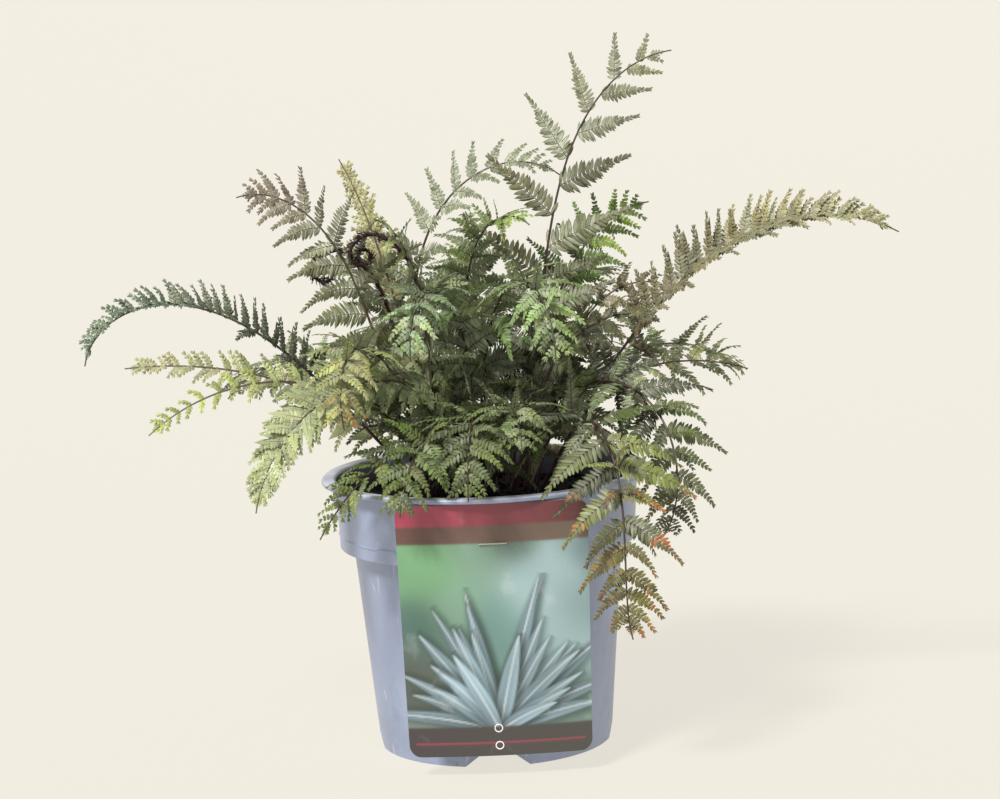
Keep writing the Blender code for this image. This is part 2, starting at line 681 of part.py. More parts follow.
def frond_sheet(frond, path, pinnae):
    """Vertices and triangles of the flat rachis with all its pinnae, as one open surface."""
    verts, faces = [], []
    start = frond.bare - RACHIS_SUNK / frond.length
    chains = {1: [], -1: []}
    for hand in chains:
        chains[hand].append((start, len(verts)))
        verts.append(rachis_edge(frond, path, start, hand))
    for (u, hand, _, _), (points, _, triangles) in pinnae:
        base = len(verts)
        verts += points
        faces += [tuple(base + k for k in triangle) for triangle in triangles]
        first, second = root_shares(frond, u)
        order = (base, base + 1) if hand > 0 else (base + 1, base)
        chains[hand] += [(first, order[0]), (second, order[1])]
    tip = (1.0, len(verts))
    verts.append(point_on(path, 1.0))
    for hand, chain in chains.items():
        chain.append(tip)
        for u in turning_shares(frond, [share for share, _ in chain]):
            chain.append((u, len(verts)))
            verts.append(rachis_edge(frond, path, u, hand))
        chain.sort()
    left, right = chains[1], chains[-1]
    i = j = 0
    while i < len(left) - 2 or j < len(right) - 2:
        if j == len(right) - 2 or (i < len(left) - 2 and left[i + 1][0] < right[j + 1][0]):
            faces.append((left[i][1], right[j][1], left[i + 1][1]))
            i += 1
        else:
            faces.append((left[i][1], right[j][1], right[j + 1][1]))
            j += 1
    faces.append((left[i][1], right[j][1], tip[1]))
    return verts, faces


def keep_one_body(mesh):
    """Drop loose scraps and the walls of sealed hollows: only the largest shell stays."""
    bm = bmesh.new()
    bm.from_mesh(mesh)
    bmesh.ops.triangulate(bm, faces=bm.faces)
    left = set(bm.verts)
    shells = []
    while left:
        stack = [left.pop()]
        island = set(stack)
        while stack:
            for edge in stack.pop().link_edges:
                for vert in edge.verts:
                    if vert in left:
                        left.remove(vert)
                        island.add(vert)
                        stack.append(vert)
        shells.append(island)
    shells.sort(key=len, reverse=True)
    scraps = [vert for island in shells[1:] for vert in island]
    bmesh.ops.delete(bm, geom=scraps, context="VERTS")
    bm.to_mesh(mesh)
    bm.free()


def fuse(obj, pieces):
    """Join every object of the collection to obj by one union, then remove them."""
    boolean = obj.modifiers.new("fuse", "BOOLEAN")
    boolean.operation = "UNION"
    boolean.operand_type = "COLLECTION"
    boolean.collection = pieces
    boolean.solver = "EXACT"
    bake(obj)
    for piece in list(pieces.objects):
        bpy.data.objects.remove(piece, do_unlink=True)
    bpy.data.collections.remove(pieces)
    keep_one_body(obj.data)


def stipe_points(frond, path):
    """Points and radii of the bare stem, from the bottom of its hole to the blade."""
    shares = [frond.bare * i / STIPE_SEGMENTS for i in range(STIPE_SEGMENTS + 1)]
    points = [point_on(path, share) for share in shares]
    down = (points[0] - points[1]).normalized()
    return [points[0] + down * HOLE_DEPTH] + points, [STEM_RADIUS] + [stem_radius(share) for share in shares]


def build_frond(frond, path, pinnae, parts, mat):
    points, radii = stipe_points(frond, path)
    obj = tube(frond.name, points, radii, parts, mat)
    verts, faces = frond_sheet(frond, path, pinnae)
    mesh = bpy.data.meshes.new(frond.name + "_blade")
    mesh.from_pydata([tuple(v) for v in verts], [], faces)
    pieces = new_collection(frond.name + "_pieces")
    blade = add_object(frond.name + "_blade", mesh, pieces)
    solid = blade.modifiers.new("blade", "SOLIDIFY")
    solid.thickness = BLADE
    solid.offset = 0.0
    fuse(obj, pieces)
    return obj


def build_holes(soil, fronds, paths):
    cutters = cutter_collection("stem_holes")
    radius = (STEM_RADIUS + FIT_GAP) / math.cos(math.pi / HOLE_SIDES)
    for frond, path in zip(fronds, paths):
        bottom, foot = stipe_points(frond, path)[0][:2]
        hole_cutter(f"hole_{frond.name}", foot, (foot - bottom).normalized(), radius, cutters)
    cut(soil, cutters)


def main():
    clear_file()
    parts = new_collection(OBJECT_NAME)
    green = material("frond_green", (0.13, 0.19, 0.08), 0.55)
    plastic = material("pot_plastic", (0.36, 0.39, 0.48), 0.42)
    peat = material("peat", (0.012, 0.009, 0.008), 0.95)
    print_card = material("label_card", (0.33, 0.42, 0.40), 0.35)
    wire = material("staple_wire", (0.62, 0.62, 0.64), 0.3, 1.0)
    pot = build_pot(parts, plastic)
    soil = build_soil(parts, peat)
    label = build_label(parts, print_card)
    staple = build_staple(parts, wire, pot, label, soil)
    fronds = NAMED_FRONDS + ring_fronds()
    feet = spread_roots(fronds)
    fronds, paths = settle_stems(fronds, feet)
    obstacles = [tree_of_object(obj) for obj in (pot, soil, label, staple)]
    pinnae = place_pinnae(fronds, paths, obstacles)
    for frond, path, surfaces in zip(fronds, paths, pinnae):
        build_frond(frond, path, surfaces, parts, green)
    build_holes(soil, fronds, paths)


main()
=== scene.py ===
"""Looks of the potted Japanese painted fern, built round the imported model.

Sizes, in metres, and the placing of the fronds repeat those of part.py.  Every frond's solid is
replaced by a finer piece that keeps its stem and its pinnae, and adds smaller pinnae between them.
"""
import math
import random
from collections import namedtuple

import bmesh
import bpy
import numpy as np
from mathutils import Matrix, Vector, kdtree, noise


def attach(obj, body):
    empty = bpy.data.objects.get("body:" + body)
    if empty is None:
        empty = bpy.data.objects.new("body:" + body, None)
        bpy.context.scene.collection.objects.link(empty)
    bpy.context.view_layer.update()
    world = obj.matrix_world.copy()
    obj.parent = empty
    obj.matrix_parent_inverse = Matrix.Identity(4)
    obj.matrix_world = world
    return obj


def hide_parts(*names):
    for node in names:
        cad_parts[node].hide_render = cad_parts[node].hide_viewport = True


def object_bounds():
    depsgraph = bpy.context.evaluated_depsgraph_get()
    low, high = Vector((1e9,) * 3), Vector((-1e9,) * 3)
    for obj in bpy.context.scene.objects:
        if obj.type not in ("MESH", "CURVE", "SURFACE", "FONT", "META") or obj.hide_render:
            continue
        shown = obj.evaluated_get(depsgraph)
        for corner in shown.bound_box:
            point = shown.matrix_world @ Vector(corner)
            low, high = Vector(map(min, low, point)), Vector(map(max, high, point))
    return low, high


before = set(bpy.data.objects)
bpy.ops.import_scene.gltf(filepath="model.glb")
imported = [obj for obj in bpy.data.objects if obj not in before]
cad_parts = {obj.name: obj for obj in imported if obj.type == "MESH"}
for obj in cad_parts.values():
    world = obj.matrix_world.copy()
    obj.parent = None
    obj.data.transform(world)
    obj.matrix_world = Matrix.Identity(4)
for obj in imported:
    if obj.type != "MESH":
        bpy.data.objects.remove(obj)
cad_box = [list(corner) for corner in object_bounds()]

SEED = 7
DISPLAY_MOST = 255
ZEROS = (0.0, 0.0, 0.0)

# ---------------------------------------------------------------- sizes that the solids have too

# Nursery pot, turned about the vertical axis.
RIM_RADIUS = 0.085
POT_HEIGHT = 0.142
FOOT_RADIUS = 0.0606
WALL = 0.0013
LIP_DEPTH = 0.0024
LIP_BEVEL = 0.0009
COLLAR_RADIUS = 0.0789
COLLAR_WAIST = 0.0769
COLLAR_BOTTOM = 0.105
COLLAR_BEVEL = 0.0008
BEAD_HEIGHT = 0.112
BEAD_DEPTH = 0.0007
BODY_TOP_RADIUS = 0.0698
FOOT_WIDTH = 0.0031
BASE_LIFT = 0.005
BASE_BEVEL = 0.0005
PAD_RADIUS = 0.012
NOTCH_COUNT = 4
NOTCH_BOTTOM = 0.038
NOTCH_TOP = 0.018
NOTCH_HEIGHT = 0.0062

# Root ball.
FIT_GAP = 0.0004
SOIL_TOP = 0.127
SOIL_DOME = 0.004
SOIL_ROUGHNESS = 0.0016
HOLE_DEPTH = 0.010
ROOT_SPACING = 0.0068
ROOT_ROUNDS = 200

# Printed card, bent to an arc in front of the pot.
CARD_WIDTH = 0.0955
CARD_TAPER = 0.0045
CARD_BOTTOM = 0.0115
CARD_TOP = 0.1388
CARD_BEND = 0.27
CARD_CENTRE = 0.002
CARD_CORNER = 0.006
CARD_THICKNESS = 0.0008

# Fronds.
STEM_SAMPLES = 120
STEM_RADIUS = 0.0012
RACHIS_WIDTH = 0.0017
PINNA_ROOT = 0.0020
PINNA_CROWDING = 1.6
PINNA_TOP = 0.96
SHORTEST_PINNA = 0.006
PAIR_LENGTHS = (0.0115, 0.0235, 0.047)
TIP_ANGLE = 40.0
LEAFLET_DROOP = 0.15
SAG = 34.0
LEAST_LEVEL = 0.05

Frond = namedtuple("Frond", "name azimuth length lean arch late veer root twist reach bare count "
                            "spread fold sag", defaults=(72, 0, 1))

# Angles in degrees.  azimuth: heading from +X; lean: start, from the vertical; arch: turned by the
# tip; late: how late it turns; veer: sideways turn; root: distance from the axis; twist: of the
# blade; reach: longest pinna; bare: bare share of the stem; count: pinnae; spread: angle between
# the lowest pinnae and the stem; fold: how far the pinnae are raised above the blade's plane; sag:
# share of the usual sag.
NAMED_FRONDS = [
    Frond("frond_tall_right", 5, 0.254, 7, 78, 4.5, -12, 0.021, 72, 0.055, 0.36, 13, 58, 8, 0.15),
    Frond("frond_arch_middle", -15, 0.223, -7, 137, 3.0, 17, -0.026, 40, 0.034, 0.42, 12, 64, 12),
    Frond("frond_left_arch", -169, 0.230, 40, 130, 3.6, 0, 0.028, -35, 0.020, 0.34, 18, 48, 36),
    Frond("frond_left_low", -157, 0.190, 18, 110, 1.0, -2, 0.024, -65, 0.016, 0.34, 13, 62, 10),
    Frond("frond_left_back", 164, 0.199, 36, 60, 0.8, -7, 0.016, -62, 0.016, 0.42, 12, 60, 10),
    Frond("frond_left_upper", -178, 0.199, 13, 93, 4.5, 16, 0.032, -60, 0.046, 0.42, 11),
    Frond("frond_left_pale", 162, 0.184, 15, 19, 4.0, -4, 0.021, -80, 0.015, 0.56, 13, 52),
    Frond("frond_left_drop", -139, 0.202, -5, 172, 0.9, -9, 0.004, -48, 0.028, 0.33, 16, 54, 8),
    Frond("frond_rim_left", -104, 0.172, 22, 125, 0.8, -50, -0.019, -15, 0.036, 0.30, 11, 62, 6),
    Frond("frond_front_left", -109, 0.133, 12, 156, 1.1, -9, 0.013, -12, 0.046, 0.26, 10),
    Frond("frond_front_centre", -91, 0.134, 14, 166, 1.4, -8, 0.017, 0, 0.046, 0.26, 10),
    Frond("frond_front_middle", -76, 0.118, 28, 136, 2.2, -7, 0.013, 6, 0.042, 0.28, 8),
    Frond("frond_rim_right", -39, 0.224, 4, 221, 0.9, -66, 0.019, 10, 0.052, 0.34, 12),
    Frond("frond_right_mass", -25, 0.204, 15, 221, 1.4, -41, 0.015, 22, 0.048, 0.32, 12),
    Frond("frond_right_flat", 19, 0.156, 26, 84, 1.0, -10, 0.015, 35, 0.040, 0.36, 9),
    Frond("frond_right_arch", -8, 0.253, 30, 90, 2.4, 5, 0.028, 42, 0.027, 0.38, 18, 48, 34),
    Frond("frond_right_dark", -36, 0.136, 0, 103, 1.9, -2, 0.027, 30, 0.038, 0.30, 9),
    Frond("frond_right_brown", 9, 0.142, 13, 106, 3.5, -9, 0.026, 40, 0.038, 0.30, 8),
    Frond("frond_right_green", 25, 0.174, 13, 70, 3.5, -18, 0.017, 55, 0.040, 0.40, 10),
    Frond("frond_centre_face", -58, 0.205, -16, 205, 1.8, -14, 0.010, 10, 0.046, 0.32, 11),
    Frond("frond_centre_blue", -150, 0.182, -20, 205, 2.0, 36, 0.018, 0, 0.044, 0.32, 10),
    Frond("frond_left_tan", -150, 0.168, 14, 215, 2.6, 55, 0.030, -10, 0.042, 0.34, 10),
    Frond("frond_top_left", -149, 0.166, -8, 82, 3.1, 20, 0.031, -35, 0.042, 0.36, 9),
    Frond("frond_top_middle", -70, 0.176, -7, 133, 3.8, 27, -0.010, 15, 0.044, 0.36, 10),
    Frond("young_frond_left", 176, 0.190, 10, 560, 7.0, 8, 0.028, 0, 0.013, 0.72, 6),
    Frond("young_frond_middle", -172, 0.196, 3, 600, 7.0, 4, 0.024, 0, 0.012, 0.72, 6),
]

# Rings of further fronds, placed by rule round the back and the sides.
Ring = namedtuple("Ring", "count first_azimuth span length lean arch late root reach pinnae")
RINGS = [
    Ring(4, 38, 104, 0.190, 24, 118, 1.2, 0.030, 0.044, 9),
    Ring(3, 56, 80, 0.178, 14, 96, 2.0, 0.022, 0.042, 9),
    Ring(1, 84, 0, 0.160, 6, 70, 2.6, 0.016, 0.040, 9),
]

# Ways to bend a pinna clear, in order: swing, lift in degrees, and share of its length.
PINNA_BENDS = [(0, 0, 1.0), (0, 16, 1.0), (0, -16, 1.0), (12, 0, 1.0), (-12, 0, 1.0), (0, 32, 1.0),
               (0, -32, 1.0), (14, 18, 0.9), (-14, -18, 0.9), (14, -18, 0.9), (-14, 18, 0.9),
               (0, 50, 0.85), (0, -50, 0.85), (0, 0, 0.7), (0, 25, 0.7), (0, -25, 0.7),
               (20, 0, 0.6), (-20, 0, 0.6), (0, 45, 0.6), (0, -45, 0.6), (0, 0, 0.45),
               (0, 30, 0.45), (0, -30, 0.45)]
# Ways to lead a stem clear: degrees of azimuth and of lean.
STEM_BENDS = [(a, b) for b in (0, 3, -3, 6, -6, 9, -9, 13, -13)
              for a in (0, 4, -4, 8, -8, 12, -12, 18, -18)]


def soil_height(x, y):
    """Height of the root ball's surface, domed in the middle and crumbly."""
    share = min(1.0, math.hypot(x, y) / COLLAR_WAIST)
    bumps = noise.noise(Vector((x * 55, y * 55, 3.1))) * SOIL_ROUGHNESS * (1 - share ** 4)
    return SOIL_TOP + SOIL_DOME * (1 - share * share) + bumps


def card_front(x):
    """Y of the card's middle surface: a shallow arc that touches the collar at its centre."""
    touch = -(COLLAR_RADIUS + FIT_GAP + CARD_THICKNESS / 2)
    across = x - CARD_CENTRE
    return touch - CARD_THICKNESS * 0.5 + CARD_BEND - math.sqrt(CARD_BEND ** 2 - across ** 2)


def ring_fronds():
    """The fronds placed by rule: even steps round each ring, with a seeded scatter."""
    draw = random.Random(SEED)
    fronds = []
    for ring in RINGS:
        for i in range(ring.count):
            azimuth = ring.first_azimuth + ring.span * i / max(1, ring.count - 1)
            azimuth += draw.uniform(-6, 6)
            length = ring.length * draw.uniform(0.92, 1.06)
            lean = ring.lean + draw.uniform(-4, 4)
            arch = ring.arch + draw.uniform(-12, 12)
            twist = draw.uniform(-15, 15)
            name = f"frond_back_{len(fronds) + 1}"
            fronds.append(Frond(name, azimuth, length, lean, arch, ring.late, draw.uniform(-12, 12),
                                ring.root, twist, ring.reach, 0.36, ring.pinnae))
    return fronds


def young(frond):
    return frond.name.startswith("young")


def stem_frame(frond, u):
    """Direction, side and upper face of a frond at the share u of its length."""
    lean = math.radians(frond.lean + frond.arch * u ** frond.late)
    heading = math.radians(frond.azimuth + frond.veer * u)
    out = math.sin(lean)
    along = Vector((out * math.cos(heading), out * math.sin(heading), math.cos(lean)))
    side = Vector((-math.sin(heading), math.cos(heading), 0.0))
    turn = Matrix.Rotation(math.radians(frond.twist), 3, along)
    return along, turn @ side, turn @ along.cross(side)


def stem_path(frond, foot):
    """Points along the stem, from the soil to the tip."""
    points = [Vector(foot)]
    for i in range(STEM_SAMPLES):
        along = stem_frame(frond, (i + 0.5) / STEM_SAMPLES)[0]
        points.append(points[-1] + along * frond.length / STEM_SAMPLES)
    return points


def point_on(path, u):
    """The point of the stem at the share u of its length."""
    at = u * STEM_SAMPLES
    low = min(STEM_SAMPLES - 1, int(at))
    return path[low].lerp(path[low + 1], at - low)


def spread_roots(fronds):
    """Feet of the stems, pushed apart until each can have its own hole."""
    feet = []
    for frond in fronds:
        heading = math.radians(frond.azimuth)
        feet.append(np.array([math.cos(heading), math.sin(heading)]) * frond.root)
    for _ in range(ROOT_ROUNDS):
        for i in range(len(feet)):
            for j in range(i):
                apart = feet[i] - feet[j]
                distance = max(1e-6, float(np.hypot(*apart)))
                if distance < ROOT_SPACING:
                    push = apart / distance * (ROOT_SPACING - distance) / 2
                    feet[i] = feet[i] + push
                    feet[j] = feet[j] - push
    return [Vector((x, y, soil_height(x, y))) for x, y in feet]


def pinna_stations(frond):
    """Share of the stem, side, angle and length of every pinna, from the lowest up."""
    stations = []
    for i in range(frond.count):
        t = i / frond.count
        u = frond.bare + (PINNA_TOP - frond.bare) * (1 - (1 - t) ** PINNA_CROWDING)
        angle = frond.spread + (TIP_ANGLE - frond.spread) * t
        length = frond.reach * (1 - t) ** 0.75 * min(1.0, 0.82 + 1.2 * t)
        stations.append((u, 1 if i % 2 else -1, angle, max(SHORTEST_PINNA, length)))
    return stations


def leaflet_pairs(length):
    """Pairs of leaflets that the solid's pinna of this length is cut into, below its end one."""
    return sum(length > limit for limit in PAIR_LENGTHS)


def rachis_edge(frond, path, u, hand):
    """A point on one edge of the flat rachis."""
    side = stem_frame(frond, u)[1]
    return point_on(path, u) + side * hand * (RACHIS_WIDTH / 2) * (1.15 - 0.55 * u)


def pinna_start(frond, station, bend):
    """A bent pinna's length, heading and normal at its root, and its sag's axis and strength."""
    u, hand, angle, length = station
    swing, lift, share = bend
    along, side, upper = stem_frame(frond, u)
    angle = math.radians(angle + swing)
    heading = along * math.cos(angle) + side * hand * math.sin(angle)
    tilt = math.radians(lift + frond.fold)
    normal = upper * math.cos(tilt) - heading * math.sin(tilt)
    heading = heading * math.cos(tilt) + upper * math.sin(tilt)
    axis = heading.cross(Vector((0, 0, -1)))
    level = axis.length
    axis = axis.normalized() if level > LEAST_LEVEL else side
    return length * share, heading, normal, axis, level


def pinna_tip(frond, path, station, bend):
    """Where the tip of the solid's pinna is if it was bent so."""
    length, heading, _, axis, level = pinna_start(frond, station, bend)
    u, hand = station[:2]
    pieces = leaflet_pairs(length) + 1
    turn = Matrix.Rotation(math.radians(SAG * frond.sag * level / pieces), 3, axis)
    half = PINNA_ROOT / 2 / frond.length
    below, above = [rachis_edge(frond, path, edge, hand) for edge in (u - half, u + half)]
    place = (below + above) / 2
    for _ in range(pieces):
        place = place + heading * (length / pieces)
        heading = turn @ heading
    return place


def pinna_line(frond, path, station, bend, steps, sag=1.0):
    """Points, headings and normals along a pinna's rib, with sag times the solid's sag."""
    length, heading, normal, axis, level = pinna_start(frond, station, bend)
    late = 0.5 / (leaflet_pairs(length) + 1)
    bending = math.radians(SAG * frond.sag * sag * level)
    place = point_on(path, station[0])
    points, headings, normals = [], [], []
    for k in range(steps + 1):
        turn = Matrix.Rotation(bending * (k / steps - late), 3, axis)
        ahead = turn @ heading
        points.append(place.copy())
        headings.append(ahead)
        normals.append(turn @ normal)
        place = place + ahead * length / steps
    return [np.array([tuple(v) for v in rows]) for rows in (points, headings, normals)]


def inner_wall():
    """Radius and height of the inside of the pot, from its floor to its rim."""
    return [(FOOT_RADIUS - WALL, BASE_LIFT + WALL),
            (BODY_TOP_RADIUS - WALL, COLLAR_BOTTOM + WALL),
            (COLLAR_WAIST - WALL, COLLAR_BOTTOM + 2 * WALL),
            (COLLAR_RADIUS - WALL, POT_HEIGHT - WALL)]


def outer_wall():
    """Radius and height of the outside of the pot, from its rim to its foot."""
    lip_under = POT_HEIGHT - LIP_DEPTH
    return [(COLLAR_RADIUS, POT_HEIGHT), (RIM_RADIUS - LIP_BEVEL, POT_HEIGHT),
            (RIM_RADIUS, POT_HEIGHT - LIP_BEVEL), (RIM_RADIUS, lip_under),
            (COLLAR_RADIUS, lip_under), (COLLAR_WAIST, BEAD_HEIGHT + 2 * BEAD_DEPTH),
            (COLLAR_WAIST + BEAD_DEPTH, BEAD_HEIGHT + BEAD_DEPTH), (COLLAR_WAIST, BEAD_HEIGHT),
            (COLLAR_WAIST, COLLAR_BOTTOM + COLLAR_BEVEL), (BODY_TOP_RADIUS, COLLAR_BOTTOM),
            (FOOT_RADIUS, 0.0), (FOOT_RADIUS - FOOT_WIDTH, 0.0),
            (FOOT_RADIUS - FOOT_WIDTH - BASE_BEVEL, BASE_LIFT)]


# ---------------------------------------------------------------- meshes

PIECE_SHARP = 50
TUBE_UP = (0.13, 0.29, 0.95)


def linear(colour):
    """An 8-bit display colour as the linear values that shaders use."""
    share = np.asarray(colour, float) / DISPLAY_MOST
    return np.where(share <= 0.04045, share / 12.92, ((share + 0.055) / 1.055) ** 2.4)


def within(value, low, high):
    """How far value has gone from low to high, from 0 to 1."""
    return min(1.0, max(0.0, (value - low) / (high - low)))


def in_scene(name, data):
    """A new object that shows a mesh, lamp or camera."""
    obj = bpy.data.objects.new(name, data)
    bpy.context.scene.collection.objects.link(obj)
    return obj


def new_mesh(name, verts, faces):
    mesh = bpy.data.meshes.new(name)
    mesh.from_pydata(verts, [], faces)
    return mesh


def smooth(mesh, sharp):
    """Smooth shading, with edges sharper than the angle kept."""
    mesh.shade_smooth()
    mesh.set_sharp_from_angle(angle=math.radians(sharp))


def ring_quads(rows, turns, back=False):
    """Quads between rows of vertices that run round in a number of turns."""
    k = np.arange(turns)
    after = (k + 1) % turns
    row = np.arange(rows - 1)[:, None] * turns
    corners = [row + k, row + after, row + turns + after, row + turns + k]
    if back:
        corners = [corners[0]] + corners[:0:-1]
    return np.stack(corners, axis=2).reshape(-1, 4)


def fan(centre, first, turns, back=False):
    """Triangles from a centre to the row of vertices that begins with first."""
    near = np.arange(turns)
    far = (near + 1) % turns
    if back:
        near, far = far, near
    return np.stack([np.full(turns, centre), first + near, first + far], axis=1)


class Build:
    """Vertices, faces and attributes of one piece, gathered from many small parts.

    tint is the colour; blade holds shares along and across a leaflet and its silver; age holds
    rust, nothing, and a number of the leaflet's own.
    """

    def __init__(self):
        self.verts, self.tint, self.blade, self.age = [], [], [], []
        self.faces = {4: [], 3: []}
        self.kinds = {4: [], 3: []}
        self.count = 0

    def add(self, verts, quads, tris, kind, tint, blade=ZEROS, age=ZEROS):
        """A part whose faces have the material numbered kind.  Gives its first vertex's number."""
        first = self.count
        self.count += len(verts)
        self.verts.append(verts)
        for values, gathered in ((tint, self.tint), (blade, self.blade), (age, self.age)):
            gathered.append(np.broadcast_to(np.asarray(values, float), (len(verts), 3)))
        self.add_faces(quads, tris, kind, first)
        return first

    def add_faces(self, quads, tris, kind, first):
        for corners, faces in ((4, quads), (3, tris)):
            if len(faces):
                self.faces[corners].append(np.asarray(faces) + first)
                self.kinds[corners].append(np.full(len(faces), kind))

    def finish(self, name, materials):
        """The object made of all parts, quads before triangles, with its attributes."""
        verts = np.concatenate(self.verts)
        faces = [face for n in (4, 3) for part in self.faces[n] for face in part.tolist()]
        mesh = new_mesh(name, verts, faces)
        kinds = np.concatenate(self.kinds[4] + self.kinds[3]).astype(np.int32)
        mesh.polygons.foreach_set("material_index", kinds)
        mesh.validate()
        tint = np.ones((len(verts), 4), np.float32)
        tint[:, :3] = np.concatenate(self.tint)
        mesh.attributes.new("tint", "FLOAT_COLOR", "POINT").data.foreach_set("color", tint.ravel())
        for label, gathered in (("blade", self.blade), ("age", self.age)):
            values = np.concatenate(gathered).astype(np.float32).ravel()
            mesh.attributes.new(label, "FLOAT_VECTOR", "POINT").data.foreach_set("vector", values)
        for material in materials:
            mesh.materials.append(material)
        smooth(mesh, PIECE_SHARP)
        return in_scene(name, mesh)


def add_tube(build, points, radii, sides, tints, kind):
    """A closed round tube along points."""
    points = np.asarray(points, float)
    ahead = np.gradient(points, axis=0)
    ahead /= np.linalg.norm(ahead, axis=1)[:, None]
    turn = np.arange(sides) / sides * 2 * math.pi
    up = np.array(TUBE_UP)
    rings = []
    for place, radius, course in zip(points, radii, ahead):
        up = up - course * np.dot(up, course)
        up /= np.linalg.norm(up)
        side = np.cross(up, course)
        rings.append(place + radius * (np.outer(np.cos(turn), side) + np.outer(np.sin(turn), up)))
    count = len(points)
    end = (count - 1) * sides
    verts = np.concatenate(rings + [points[:1], points[-1:]])
    tris = np.concatenate([fan(count * sides, 0, sides, True), fan(count * sides + 1, end, sides)])
    shares = np.concatenate([np.repeat(np.linspace(0, 1, count), sides), [0, 1]])
    tints = np.concatenate([np.repeat(np.asarray(tints), sides, axis=0), tints[:1], tints[-1:]])
    blade = np.stack([shares, 0 * shares, 0 * shares], axis=1)
    build.add(verts, ring_quads(count, sides), tris, kind, tints, blade)


# ---------------------------------------------------------------- fronds, finer than the solids

# Leaflets: lengths in metres; reach and pitch as shares of the pinna's length.
LEAF_THICKNESS = 0.00030
LEAFLET_REACH = 0.222
LEAFLET_PITCH = 0.058
LEAST_PITCH = 0.0020
LEAFLET_WIDTH = 1.02
SHORT_PINNA = 0.022
SHORT_BROADENING = 0.25
SHORT_STOUTNESS = 0.35
LEAST_PINNA = 0.004
TAIL_FROM = 0.88
TAIL = (0.62, 0.92)
GREEN_PART = (0.22, 0.95)
GREENER = (0.02, 0.12, -0.28)
# A leaflet's lean in degrees at the pinna's root, and what it loses to the tip and in the tail.
LEAFLET_LEAN = 68
LEAN_LOSS = 18
TAIL_LEAN_LOSS = 34
# A leaflet's half width in lengths, and what of it is lost in the tail; the length of the last.
LEAFLET_STOUT = 0.42
TAIL_SLIMMING = 0.27
END_LEAFLET = 1.8
OPEN_VARIETY = 0.35
OPEN_GREENER = 0.3

# Scatter of the leaflets, and last of a whole pinna's silver: lean in degrees, the rest as shares.
LEAN_SCATTER = (-7, 7)
RISE_SCATTER = (-0.14, 0.16)
SIZE_SCATTER = (0.86, 1.10)
WIDTH_SCATTER = (0.90, 1.08)
DROOP_SCATTER = (0.02, 0.20)
CUP_SCATTER = (0.05, 0.40)
TINT_SCATTER = (0.62, 1.38)
SILVER_SCATTER = (0.35, 1.30)
RUST_SCATTER = (0.5, 1.2)
PALE_SCATTER = (0.35, 1.25)

# Ribs and stems.
RIB_RADIUS = 0.00034
RIB_TIP = 0.30
RIB_SIDES = 3
STEM_SIDES = 7
STEM_SLIMMING = 0.84
STEM_THINNING = 0.66
YOUNG_THINNING = 0.20

# The drawn-out end of a frond, and the scales on one that is still coiled.
TIP_LEAFLETS = 9
TIP_LEAFLET = 0.0034
TIP_END = 0.985
TIP_LEAN = 50
TIP_LEAN_LOSS = 20
SCALES = 320
SCALES_FROM = 0.40
SCALES_TO = 0.995
SCALE_LENGTHS = (0.0018, 0.0050)
SCALE_LEANS = (28, 62)
SCALE_STOUT = (0.12, 0.2)
SCALE_DROOPS = (-0.2, 0.4)

# How near a solid's corner has to be to where it would be, for the same bend or lead.
PINNA_MATCH = 0.0012
STEM_MATCH = 0.0006
STEM_TEST = 0.72

# How far the tip of an added pinna may be outside the solids' box, and how it is shortened.
PROUD = 0.003
SHORTENINGS = (1.0, 0.85, 0.7, 0.55, 0.4, 0.25)
TRIAL_STEPS = 6

# Scatter of the added pinnae.  along: of the share of the stem; angle: degrees; length: share;
# lift: degrees, either way where both are above nought; sag: share; loose: roll in radians.
Scatter = namedtuple("Scatter", "along angle length lift sag loose")
OPPOSITE = Scatter(0.006, (-12, 8), (0.74, 0.98), (-38, 38), (0.7, 1.9), 0.5)
LIFTED = Scatter(0.02, (-25, 15), (0.5, 0.8), (30, 80), (0.6, 1.8), 0.7)
BETWEEN = Scatter(0.003, (-8, 8), (0.92, 1.14), (-14, 14), (0.8, 1.4), 0.22)
FILLING = Scatter(0, (-24, 12), (0.8, 1.1), (-55, 55), (0.7, 2.0), 0.7)
OWN_LOOSE = 0.22
LIFTED_BELOW = 0.25
FILL_ANGLE = 84
LEAST_FILLING = 0.034
FILL_PITCH = 0.0062

# Leaf colours, as they are seen in even light.
SILVER = (197, 204, 178)
MAROON = (64, 34, 40)

